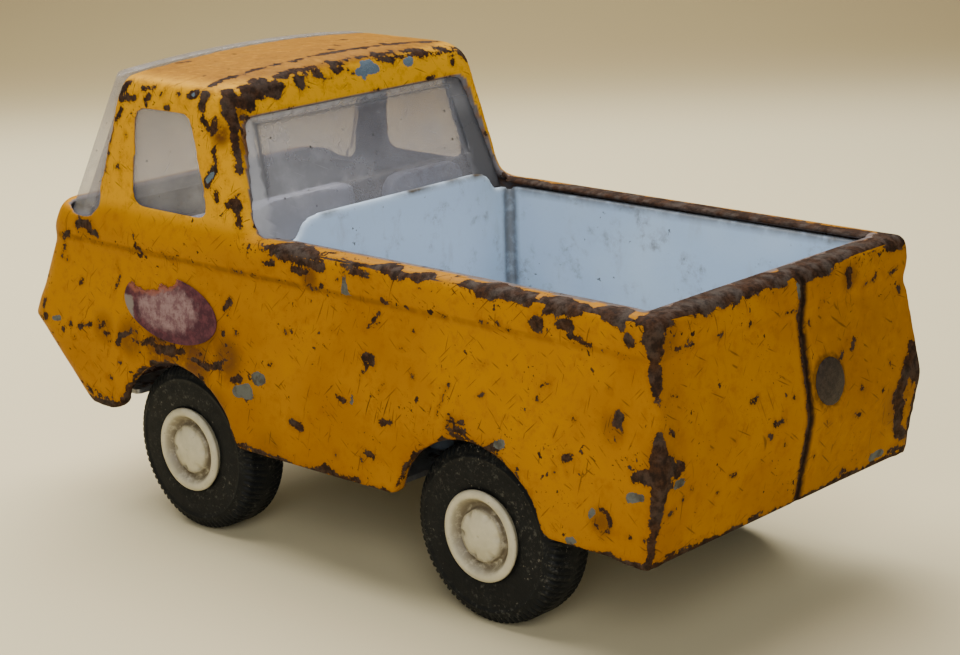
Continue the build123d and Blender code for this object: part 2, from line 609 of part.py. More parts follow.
def hub(x, sign):
    """A plastic hub: flanged rim, recessed face, six-sided domed cap and a boss bored for the axle."""
    inner_y = TYRE_OUTER_Y - TYRE_WIDTH
    recess_y = HUB_FACE_Y - HUB_RECESS_DEPTH
    outer_recess, inner_recess = HUB_RECESS_RADII
    bore = AXLE_RADIUS + PRESSED_CLEARANCE
    body = turned([
        (inner_y - 1.0, bore), (inner_y - 1.0, BOSS_RADIUS), (inner_y - 0.6, BOSS_RADIUS),
        (inner_y - 0.6, HUB_RADIUS), (inner_y - PRESSED_CLEARANCE, HUB_RADIUS),
        (inner_y - PRESSED_CLEARANCE, HUB_SEAT_RADIUS), (TYRE_OUTER_Y + PRESSED_CLEARANCE, HUB_SEAT_RADIUS),
        (TYRE_OUTER_Y + PRESSED_CLEARANCE, HUB_RADIUS), (HUB_FACE_Y, HUB_RADIUS), (HUB_FACE_Y, outer_recess),
        (recess_y, inner_recess), (recess_y, 0), (AXLE_END_Y + 0.1, 0), (AXLE_END_Y + 0.1, bore),
    ], x, sign)
    cap = loft([Pos(0, 0, recess_y - 0.4) * RegularPolygon(CAP_RADIUS, 6),
                Pos(0, 0, HUB_FACE_Y - 0.5) * RegularPolygon(CAP_RADIUS - 0.5, 6)], ruled=True)
    cap += loft([Pos(0, 0, HUB_FACE_Y - 0.5) * RegularPolygon(CAP_RADIUS - 0.5, 6),
                 Pos(0, 0, CAP_Y) * RegularPolygon(CAP_RADIUS - 2.2, 6)], ruled=True)
    return body + Pos(x, 0, WHEEL_RADIUS) * Rot(-90 * sign, 0, 0) * cap


def door_decal(sign):
    """The thin oval sticker on a door."""
    place = side_plane(sign, DECAL_X, DECAL_Z, PRESSED_CLEARANCE)
    return place * Rot(0, 0, -4 * sign) * extrude(Ellipse(*DECAL_RADII), DECAL_THICKNESS)


def all_parts():
    """Every piece of the truck by its node name."""
    parts = {
        "body_shell": body_shell(),
        "tail_rivet": tail_rivet(),
        "front_grille": grille(),
        "bed_liner": bed_liner(),
        "liner_caps": liner_caps(),
        "seat_moulding": seat_moulding(),
        "window_moulding": window_moulding(),
        "base_plate": base_plate(),
    }
    for end, x in AXLES.items():
        parts[f"axle_{end}"] = axle(x)
        for side, sign in SIDES.items():
            parts[f"tyre_{end}_{side}"] = tyre(x, sign)
            parts[f"hub_{end}_{side}"] = hub(x, sign)
    for side, sign in SIDES.items():
        parts[f"door_decal_{side}"] = door_decal(sign)
    return parts


os.makedirs("parts", exist_ok=True)
for node, shape in all_parts().items():
    export_step(shape, f"parts/{node}.step")
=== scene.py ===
import math
from itertools import product

import bmesh
import bpy
import numpy as np
from mathutils import Matrix, Vector


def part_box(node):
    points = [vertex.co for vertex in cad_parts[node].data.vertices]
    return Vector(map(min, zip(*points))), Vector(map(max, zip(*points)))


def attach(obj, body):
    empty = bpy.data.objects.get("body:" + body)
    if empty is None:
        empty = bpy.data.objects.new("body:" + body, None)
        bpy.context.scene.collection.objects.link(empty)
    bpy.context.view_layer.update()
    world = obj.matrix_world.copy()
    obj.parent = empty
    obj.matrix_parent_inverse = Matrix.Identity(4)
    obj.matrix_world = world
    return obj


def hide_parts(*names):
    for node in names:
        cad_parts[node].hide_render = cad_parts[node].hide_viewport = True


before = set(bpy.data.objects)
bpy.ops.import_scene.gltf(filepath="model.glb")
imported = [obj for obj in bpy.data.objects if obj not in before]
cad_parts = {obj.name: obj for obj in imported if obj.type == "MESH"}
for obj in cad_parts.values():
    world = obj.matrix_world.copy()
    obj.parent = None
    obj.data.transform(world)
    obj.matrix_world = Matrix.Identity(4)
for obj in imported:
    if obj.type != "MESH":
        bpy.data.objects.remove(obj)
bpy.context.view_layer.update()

# The looks of a small pressed-steel toy pickup, in the truck's own frame: +X is forward, +Y its left and
# +Z up. The wear tables and the mesh code are in millimetres, and Blender's objects are in metres.
MM = 0.001


def measured(node):
    """The middle of a CAD node's box and half its size, in mm to one decimal."""
    low, high = (np.array(corner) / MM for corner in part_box(node))
    return np.round((low + high) / 2, 1), np.round((high - low) / 2, 1)


BODY_MIDDLE, BODY_HALF = measured("body_shell")
NOSE_X, HALF_WIDTH, BODY_HALF_HEIGHT = BODY_HALF
TAIL_X = -NOSE_X
SILL_Z, ROOF_Z = BODY_MIDDLE[2] - BODY_HALF_HEIGHT, BODY_MIDDLE[2] + BODY_HALF_HEIGHT
CREASE_Z, BELT_Z, RIM_Z = SILL_Z + 13.0, SILL_Z + 28.6, SILL_Z + 34.5
BELT_HALF_WIDTH, BAND_HALF_WIDTH = HALF_WIDTH - 1.7, HALF_WIDTH - 1.1
CAB_HALF_WIDTH, CAB_TOP_HALF_WIDTH, CAB_TOP_Z = HALF_WIDTH - 2.1, HALF_WIDTH - 3.8, ROOF_Z - 1.6
CAB_REAR_X, CAB_REAR_TOP_X = 12.3, 19.0
TAIL_SILL_X, TAIL_BELT_X, BAND_TAIL_X, BED_REAR_X = TAIL_X + 2.6, TAIL_X + 2.3, TAIL_X + 1.7, TAIL_X + 6.7
NOSE_SILL_X, NOSE_BELT_X = NOSE_X - 15.8, NOSE_X - 5.9
WHEEL_RADIUS = measured("tyre_rear_left")[0][2]
ARCHES = (measured("tyre_rear_left")[0][0], measured("tyre_front_left")[0][0] - 0.3)
ARCH_RADIUS = WHEEL_RADIUS + 0.8
SEAM_Y = -2.8
RIVET_MIDDLE, RIVET_HALF = measured("tail_rivet")
DECAL_MIDDLE, DECAL_HALF = measured("door_decal_left")

AMBER = (0.43, 0.185, 0.0003)
AMBER_DEEP = (0.34, 0.135, 0.0003)
# A paler amber for the cab: a painted sheen
AMBER_PAINTED_SHEEN = (0.66, 0.32, 0.004)
RUST_DARK = (0.024, 0.015, 0.011)
RUST_BROWN = (0.058, 0.027, 0.014)
RUST_GREY = (0.075, 0.066, 0.058)
STEEL_WORN = (0.135, 0.145, 0.135)
PAPER_NEAR = (0.68, 0.60, 0.37)
# The far tone is painted shade: the paper darkens towards its back
PAPER_FAR_PAINTED_SHADE = (0.385, 0.30, 0.14)

# The photograph's viewpoint in metres and degrees, and the middle of what the lamps point at
VIEW_PLACE = Vector((-0.24855, 0.25623, 0.13216))
VIEW_YAW, VIEW_PITCH, VIEW_ROLL = -47.03, -15.35, -1.80
LIT_MIDDLE = Vector((0, 0, 0.03))


# ---------------------------------------------------------------- camera, stage and lights

def added(name, data):
    """A new object with this data, in the scene."""
    obj = bpy.data.objects.new(name, data)
    bpy.context.scene.collection.objects.link(obj)
    return obj


def camera():
    """The photograph's view: from behind the truck's left rear corner, looking down at it."""
    yaw, pitch, roll = (math.radians(a) for a in (VIEW_YAW, VIEW_PITCH, VIEW_ROLL))
    forward = Vector((math.cos(pitch) * math.cos(yaw), math.cos(pitch) * math.sin(yaw), math.sin(pitch)))
    level = forward.cross(Vector((0, 0, 1))).normalized()
    upright = level.cross(forward)
    right = level * math.cos(roll) + upright * math.sin(roll)
    up = upright * math.cos(roll) - level * math.sin(roll)
    data = bpy.data.cameras.new("camera")
    data.sensor_width = 36.0
    data.lens = 85.8
    data.shift_x, data.shift_y = -0.00877, -0.00675
    data.clip_start = 0.01
    obj = added("camera", data)
    axes = Matrix((right, up, -forward)).transposed().to_4x4()
    obj.matrix_world = Matrix.Translation(VIEW_PLACE) @ axes
    bpy.context.scene.camera = obj


def stage():
    """A sheet of pale paper: flat under the truck, then curving up behind it, coloured darker up its curve as
    painted shade.
    """
    near, flat, radius, height, half_width, steps = -1.2, 0.42, 0.35, 0.9, 1.6, 24
    profile = [(near, 0.0), (flat, 0.0)]
    for i in range(1, steps + 1):
        a = math.pi / 2 * i / steps
        profile.append((flat + radius * math.sin(a), radius * (1 - math.cos(a))))
    profile.append((flat + radius, height))
    mesh = bmesh.new()
    rows = [[mesh.verts.new((along, side, z)) for side in (-half_width, half_width)] for along, z in profile]
    for a, b in zip(rows, rows[1:]):
        mesh.faces.new((a[0], b[0], b[1], a[1])).smooth = True
    data = bpy.data.meshes.new("paper")
    mesh.to_mesh(data)
    obj = added("paper", data)
    obj.rotation_euler.z = math.radians(VIEW_YAW)
    look = Look("paper")
    along = look.value("X", "ShaderNodeSeparateXYZ", look.place)
    # Painted shade: the paper's colour darkens from the back of the floor up the curve
    tone = look.mix(along.ramp(0.31, 0.49), PAPER_NEAR, PAPER_FAR_PAINTED_SHADE)
    tone = look.mix(look.noise(90, 2) * 0.06, tone, (0.6, 0.5, 0.36))
    data.materials.append(look.finish(tone, roughness=0.85))


def area_light(name, place, size, power, colour):
    """A square lamp of the given size in metres that points at the truck."""
    data = bpy.data.lights.new(name, "AREA")
    data.shape = "RECTANGLE"
    data.size = data.size_y = size
    data.energy = power
    data.color = colour
    obj = added(name, data)
    obj.location = place
    obj.rotation_euler = (LIT_MIDDLE - Vector(place)).to_track_quat("-Z", "Y").to_euler()


def lights():
    """A soft lamp above the right front, a weak one behind on the left, and a dim grey room."""
    area_light("key", (0.19, -0.08, 0.44), 0.56, 6.6, (1.0, 0.97, 0.93))
    area_light("fill", (-0.34, 0.36, 0.26), 0.3, 1.65, (1.0, 0.99, 0.97))
    world = bpy.data.worlds.new("world")
    world.use_nodes = True
    background = world.node_tree.nodes["Background"]
    background.inputs["Color"].default_value = (0.9, 0.9, 0.9, 1)
    background.inputs["Strength"].default_value = 0.12
    bpy.context.scene.world = world


# ---------------------------------------------------------------- materials

class Value:
    """A number or colour that a material works out at every point, with the usual arithmetic."""

    def __init__(self, look, socket):
        self.look, self.socket = look, socket

    def __add__(self, other):
        return self.look.math("ADD", self, other)

    def __sub__(self, other):
        return self.look.math("SUBTRACT", self, other)

    def __rsub__(self, other):
        return self.look.math("SUBTRACT", other, self)

    def __mul__(self, other):
        return self.look.math("MULTIPLY", self, other)

    __radd__, __rmul__ = __add__, __mul__

    def held(self):
        """The same sum, kept between 0 and 1."""
        self.socket.node.use_clamp = True
        return self

    def ramp(self, low, high):
        """0 at low, 1 at high, eased between them. low may be the greater of the two."""
        node = self.look.node("ShaderNodeMapRange", self, interpolation_type="SMOOTHSTEP")
        first, last = sorted(((low, 0.0), (high, 1.0)))
        for key, number in zip(("From Min", "To Min", "From Max", "To Max"), first + last):
            node.inputs[key].default_value = number
        return Value(self.look, node.outputs["Result"])


class Look:
    """A node material in the making. Sizes are in millimetres, on the truck's own coordinates."""

    def __init__(self, name):
        self.material = bpy.data.materials.new(name)
        self.material.use_nodes = True
        self.tree = self.material.node_tree
        self.tree.nodes.clear()
        self.place = self.value("Object", "ShaderNodeTexCoord")

    def node(self, kind, *values, **given):
        """A new node. values go to its inputs in order, and given names its properties and other inputs."""
        node = self.tree.nodes.new(kind)
        for key, value in given.items():
            if key in node.inputs:
                self.set(node.inputs[key], value)
            else:
                setattr(node, key, value)
        for socket, value in zip(node.inputs, values):
            self.set(socket, value)
        return node

    def value(self, output, kind, *values, **given):
        """One output of a new node."""
        return Value(self, self.node(kind, *values, **given).outputs[output])

    def set(self, socket, value):
        if isinstance(value, Value):
            self.tree.links.new(value.socket, socket)
        elif isinstance(value, tuple) and socket.type == "RGBA":
            socket.default_value = (*value, 1)
        else:
            socket.default_value = value

    def math(self, operation, a, b):
        return self.value(0, "ShaderNodeMath", a, b, operation=operation)

    def highest(self, first, *others):
        for other in others:
            first = self.math("MAXIMUM", first, other)
        return first

    def mix(self, factor, a, b):
        node = self.node("ShaderNodeMix", factor, data_type="RGBA", clamp_factor=True)
        self.set(node.inputs[6], a)
        self.set(node.inputs[7], b)
        return Value(self, node.outputs[2])

    def moved(self, shift, stretch=(1, 1, 1)):
        """The truck's coordinates, shifted and stretched, to give a noise its own place and shape."""
        return self.value(0, "ShaderNodeMapping", Vector=self.place, Location=shift, Scale=stretch)

    def warped(self, size, reach):
        """The truck's coordinates pushed about by up to reach mm in swirls of about size mm."""
        push = self.value("Color", "ShaderNodeTexNoise", Vector=self.place, Scale=1 / (size * MM), Detail=3)
        push = self.value(0, "ShaderNodeVectorMath", push, (0.5, 0.5, 0.5), operation="SUBTRACT")
        push = self.value(0, "ShaderNodeVectorMath", push, operation="SCALE", Scale=reach * 4 * MM)
        return self.value(0, "ShaderNodeVectorMath", self.place, push, operation="ADD")

    def noise(self, size, detail=3, roughness=0.55, vector=None):
        """Fractal noise from 0 to 1 whose blobs are about size mm across."""
        return self.value("Fac", "ShaderNodeTexNoise", Vector=vector or self.place, Scale=1 / (size * MM),
                          Detail=detail, Roughness=roughness)

    def cells(self, size, vector=None):
        """Distance from random points that are about size mm apart, in units of size."""
        return self.value("Distance", "ShaderNodeTexVoronoi", Vector=vector or self.place,
                          Scale=1 / (size * MM))

    def field(self, name):
        """A value that is stored on the mesh."""
        return self.value("Fac", "ShaderNodeAttribute", attribute_name=name)

    def scratches(self, length, width, amount, turn, shift):
        """Fine straight scratches at one slant: stretched cells, thinned out by a broad noise."""
        long = length / width
        vector = self.value(0, "ShaderNodeMapping", vector_type="TEXTURE", Vector=self.place, Location=shift,
                            Rotation=(*turn, 0), Scale=(long, long, 1))
        here = self.noise(length, 1, vector=self.moved(shift)).ramp(amount, amount + 0.05)
        return self.cells(width * 3.4, vector).ramp(0.19, 0.07) * here

    def relief(self, *layers):
        """A normal bumped by each layer in turn: a height from 0 to 1, and its depth in mm."""
        normal = None
        for height, depth in layers:
            node = self.node("ShaderNodeBump", Height=height, Distance=depth * MM, Strength=1.0)
            if normal:
                self.set(node.inputs["Normal"], normal)
            normal = Value(self, node.outputs["Normal"])
        return normal

    def finish(self, colour, **inputs):
        """The finished material. inputs names the principled surface's inputs in lower case."""
        names = {"specular": "Specular IOR Level", "subsurface": "Subsurface Weight"}
        given = {names.get(key, key.replace("_", " ").title()): value for key, value in inputs.items()}
        self.node("ShaderNodeOutputMaterial", self.value(0, "ShaderNodeBsdfPrincipled", colour, **given))
        return self.material


def body_look():
    """Amber enamel over steel: chips down to dark rust or grey metal, stains, scratches and grime, with a
    painted sheen on the cab and painted shade along the belt, on the tail, on the roof's top and in the tail
    seam.
    """
    look = Look("worn_enamel")
    noise, mix, field = look.noise, look.mix, look.field
    ragged = (noise(1.25, 5, 0.66) - 0.5) * 1.9 + (noise(0.38, 3, 0.65) - 0.5) * 0.9
    chip = field("chip") + ragged
    steel = field("steel") + ragged * 0.5
    rub = field("rub")

    # Specks: small random chips in clusters, crowded where the body gets rubbed
    about = look.warped(1.0, 0.55)
    crowd = noise(6, 4, 0.6) - 0.56 + rub * 0.24
    speck = look.highest((look.cells(2.1, about) - crowd).ramp(0.13, 0.09),
                         (look.cells(0.8, about) - crowd * 0.7).ramp(0.13, 0.08))
    lines = look.highest(
        look.scratches(3.4, 0.16, 0.46, (0.4, 0.8), (0.11, 0.07, 0.03)),
        look.scratches(2.4, 0.14, 0.46, (-0.3, -0.7), (0.31, 0.17, 0.09)),
        look.scratches(4.6, 0.14, 0.50, (0.9, 1.3), (0.05, 0.41, 0.27)),
        look.scratches(1.8, 0.13, 0.44, (-0.9, -0.4), (0.21, 0.02, 0.63)),
        look.scratches(3.0, 0.14, 0.48, (0.2, 1.4), (0.16, 0.22, 0.43)))
    bare_rust, bare_steel = chip.ramp(0.06, -0.06), steel.ramp(0.05, -0.05)
    halo = (chip.ramp(0.8, 0.0) - bare_rust).held()

    # Enamel: broad fading, a painted sheen on the cab, a deeper tone near chips, brown stains, dirt and
    # painted shade along the belt, painted shade on the tail and the roof's top, and dirt in the corners and
    # scratches
    paint = mix(noise(22, 3).ramp(0.35, 0.7), AMBER, AMBER_DEEP)
    # Painted sheen: the cab's enamel is coloured a paler amber
    paint = mix(field("painted_sheen"), paint, AMBER_PAINTED_SHEEN)
    primer = mix(noise(4, 4, 0.6).ramp(0.35, 0.7), (0.17, 0.165, 0.175), (0.11, 0.10, 0.10))
    paint = mix(field("inner"), paint, primer)
    paint = mix(noise(2.2, 5, 0.75).ramp(0.47, 0.72) * 0.5, paint, (0.25, 0.088, 0.001))
    stain = field("stain") * noise(2.6, 5, 0.7).ramp(0.18, 0.5)
    paint = mix(stain, paint, (0.13, 0.050, 0.012))
    paint = mix(halo * 0.35, paint, (0.22, 0.08, 0.004))
    # The dirt field also holds painted shade: the belt step's shadow, the tail and the roof's top
    dirt = field("dirt") * noise(1.3, 4, 0.6).ramp(0.2, 0.55)
    paint = mix(dirt, paint, (0.10, 0.045, 0.012))
    paint = mix(lines * (rub + 0.62), paint, (0.070, 0.032, 0.010))

    rust = mix(noise(1.1, 5, 0.7).ramp(0.38, 0.62), RUST_DARK, RUST_BROWN)
    greyness = noise(2.2, 4, 0.6).ramp(0.42, 0.66) * (field("polish") + 0.35)
    rust = mix(greyness.held(), rust, RUST_GREY)
    metal = mix(noise(1.8, 4, 0.6).ramp(0.42, 0.68), STEEL_WORN, (0.075, 0.070, 0.058))
    # Painted sheen: bare steel on the cab is coloured paler and bluer
    metal = mix(field("painted_sheen"), metal, mix(noise(1.2, 4), (0.10, 0.15, 0.20), (0.16, 0.21, 0.26)))
    exposed = look.highest(bare_rust, speck * (1.0 - bare_rust))
    gone = look.highest(exposed, bare_steel)
    colour = mix(exposed, paint, rust)
    # Painted shadow: the tail seam's gap is coloured near black
    colour = mix(field("gap"), colour, (0.012, 0.008, 0.006))
    colour = mix(bare_steel, colour, metal)
    rough = (noise(3.5, 4, 0.65) * 0.26 + 0.30 + gone * 0.26 + dirt * 0.25).held()
    normal = look.relief((1.0 - gone, 0.07), (noise(0.5, 4, 0.7) * gone, 0.16), (1.0 - lines, 0.035),
                         (noise(1.6, 2), 0.035))
    return look.finish(colour, roughness=rough, metallic=bare_steel * 0.35, normal=normal, specular=0.025)


# ---------------------------------------------------------------- mesh helpers

def points_of(data):
    """The vertices of a mesh in mm."""
    flat = np.empty(len(data.vertices) * 3, np.float32)
    data.vertices.foreach_get("co", flat)
    return flat.reshape(-1, 3).astype(float) / MM


def set_points(data, points):
    data.vertices.foreach_set("co", (points * MM).astype(np.float32).ravel())
    data.update()


def store(data, name, values):
    """Keeps a value per vertex on the mesh, for its material to read."""
    attribute = data.attributes.new(name, "FLOAT", "POINT")
    attribute.data.foreach_set("value", np.asarray(values, np.float32))


def smoothed(data, points, weights, passes):
    """Rounds a mesh off: every pass moves each vertex towards the middle of its neighbours."""
    edges = np.empty(len(data.edges) * 2, np.int32)
    data.edges.foreach_get("vertices", edges)
    a, b = edges.reshape(-1, 2).T
    count = np.bincount(np.concatenate([a, b]), minlength=len(points)).clip(1)
    for _ in range(passes):
        total = np.empty_like(points)
        for axis in range(3):
            total[:, axis] = (np.bincount(a, points[b, axis], len(points))
                              + np.bincount(b, points[a, axis], len(points)))
        middle = total / count[:, None]
        points = points + (middle - points) * (0.5 * weights)[:, None]
    return points


def applied(obj):
    """Replaces an object's mesh by what its modifiers make of it."""
    bpy.context.view_layer.update()
    graph = bpy.context.evaluated_depsgraph_get()
    data = bpy.data.meshes.new_from_object(obj.evaluated_get(graph))
    obj.modifiers.clear()
    obj.data = data
    return data


def welded(node):
    """A CAD node's mesh for editing, with the vertices that its faces repeat made one."""
    mesh = bmesh.new()
    mesh.from_mesh(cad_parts[node].data)
    bmesh.ops.remove_doubles(mesh, verts=mesh.verts, dist=0.002 * MM)
    return mesh


def built(name, mesh):
    """An edited mesh as a new object."""
    data = bpy.data.meshes.new(name)
    mesh.to_mesh(data)
    mesh.free()
    return added(name, data)


def evened(node, name, voxel):
    """A copy of a CAD node as a closed mesh of even small faces, voxel mm across."""
    obj = built(name, welded(node))
    remesh = obj.modifiers.new("even", "REMESH")
    remesh.mode = "VOXEL"
    remesh.voxel_size = voxel * MM
    applied(obj)
    return obj


def divided(node, name, length):
    """A copy of a CAD node's mesh whose edges are cut until none is longer than length mm."""
    mesh = welded(node)
    bmesh.ops.triangulate(mesh, faces=mesh.faces)
    for _ in range(8):
        long = [e for e in mesh.edges if e.calc_length() > length * MM]
        if not long:
            break
        bmesh.ops.subdivide_edges(mesh, edges=long, cuts=1)
        bmesh.ops.triangulate(mesh, faces=mesh.faces)
    obj = built(name, mesh)
    shade_smooth(obj.data)
    obj.data.set_sharp_from_angle(angle=math.radians(28))
    return obj


def standing_in(obj, node, look, body="truck"):
    """Gives a piece its look, and puts it in the place of its CAD node."""
    obj.data.materials.clear()
    obj.data.materials.append(look)
    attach(obj, body)
    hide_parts(node)


def thinned(obj, spared, share):
    """Joins faces until a share of them is left, but leaves those of the spared vertices alone."""
    group = obj.vertex_groups.new(name="thin")
    group.add(np.flatnonzero(~spared).tolist(), 1.0, "REPLACE")
    group.add(np.flatnonzero(spared).tolist(), 0.0, "REPLACE")
    decimate = obj.modifiers.new("thin", "DECIMATE")
    decimate.ratio = share
    decimate.vertex_group = "thin"
    data = applied(obj)
    obj.vertex_groups.clear()
    return data


def shade_smooth(data):
    data.polygons.foreach_set("use_smooth", np.ones(len(data.polygons), bool))
    data.update()


def ramp(value, low, high):
    """0 at low, 1 at high, eased between them. low may be the greater of the two."""
    t = np.clip((value - low) / (high - low), 0, 1)
    return t * t * (3 - 2 * t)


def ripple(points, size, seed):
    """Smooth random values from -1 to 1 whose bumps are about size mm across."""
    cells = 32
    table = np.random.default_rng(seed).random((cells, cells, cells))
    cell = points / size + 16 * cells
    low = np.floor(cell).astype(int)
    part = cell - low
    part = part * part * (3 - 2 * part)
    total = np.zeros(len(points))
    for corner in product((0, 1), repeat=3):
        weight = np.prod(np.where(corner, part, 1 - part), axis=1)
        i, j, k = ((low + corner) % cells).T
        total += weight * table[i, j, k]
    return total * 2 - 1


def line(start, end, z):
    """Where the line from start to end, given as (value, z), is at the height z."""
    return start[0] + (end[0] - start[0]) * (z - start[1]) / (end[1] - start[1])


def half_width_at(z):
    """Half the body's width at the height z."""
    return np.select(
        [z < CREASE_Z, z < BELT_Z, z < RIM_Z],
        [HALF_WIDTH, line((HALF_WIDTH, CREASE_Z), (BELT_HALF_WIDTH, BELT_Z), z), BAND_HALF_WIDTH],
        line((CAB_HALF_WIDTH, RIM_Z), (CAB_TOP_HALF_WIDTH, CAB_TOP_Z), z))


def cab_rear_at(z):
    """The x of the cab's back at the height z."""
    return line((CAB_REAR_X, RIM_Z), (CAB_REAR_TOP_X, CAB_TOP_Z), z)


def tail_at(z):
    """The tail's x at the height z, and above the rim the cab's back."""
    return np.select(
        [z < CREASE_Z, z < BELT_Z, z < RIM_Z],
        [line((TAIL_SILL_X, SILL_Z), (TAIL_X, CREASE_Z), z),
         line((TAIL_X, CREASE_Z), (TAIL_BELT_X, BELT_Z), z), BAND_TAIL_X],
        cab_rear_at(z))


def nose_at(z):
    """The nose's x at the height z, up to the rim."""
    return np.select(
        [z < CREASE_Z, z < BELT_Z],
        [line((NOSE_SILL_X, SILL_Z), (NOSE_X, CREASE_Z), z),
         line((NOSE_X, CREASE_Z), (NOSE_BELT_X, BELT_Z), z)],
        line((NOSE_X - 6.0, BELT_Z), (NOSE_X - 9.0, RIM_Z), z))


# ---------------------------------------------------------------- wear on the body

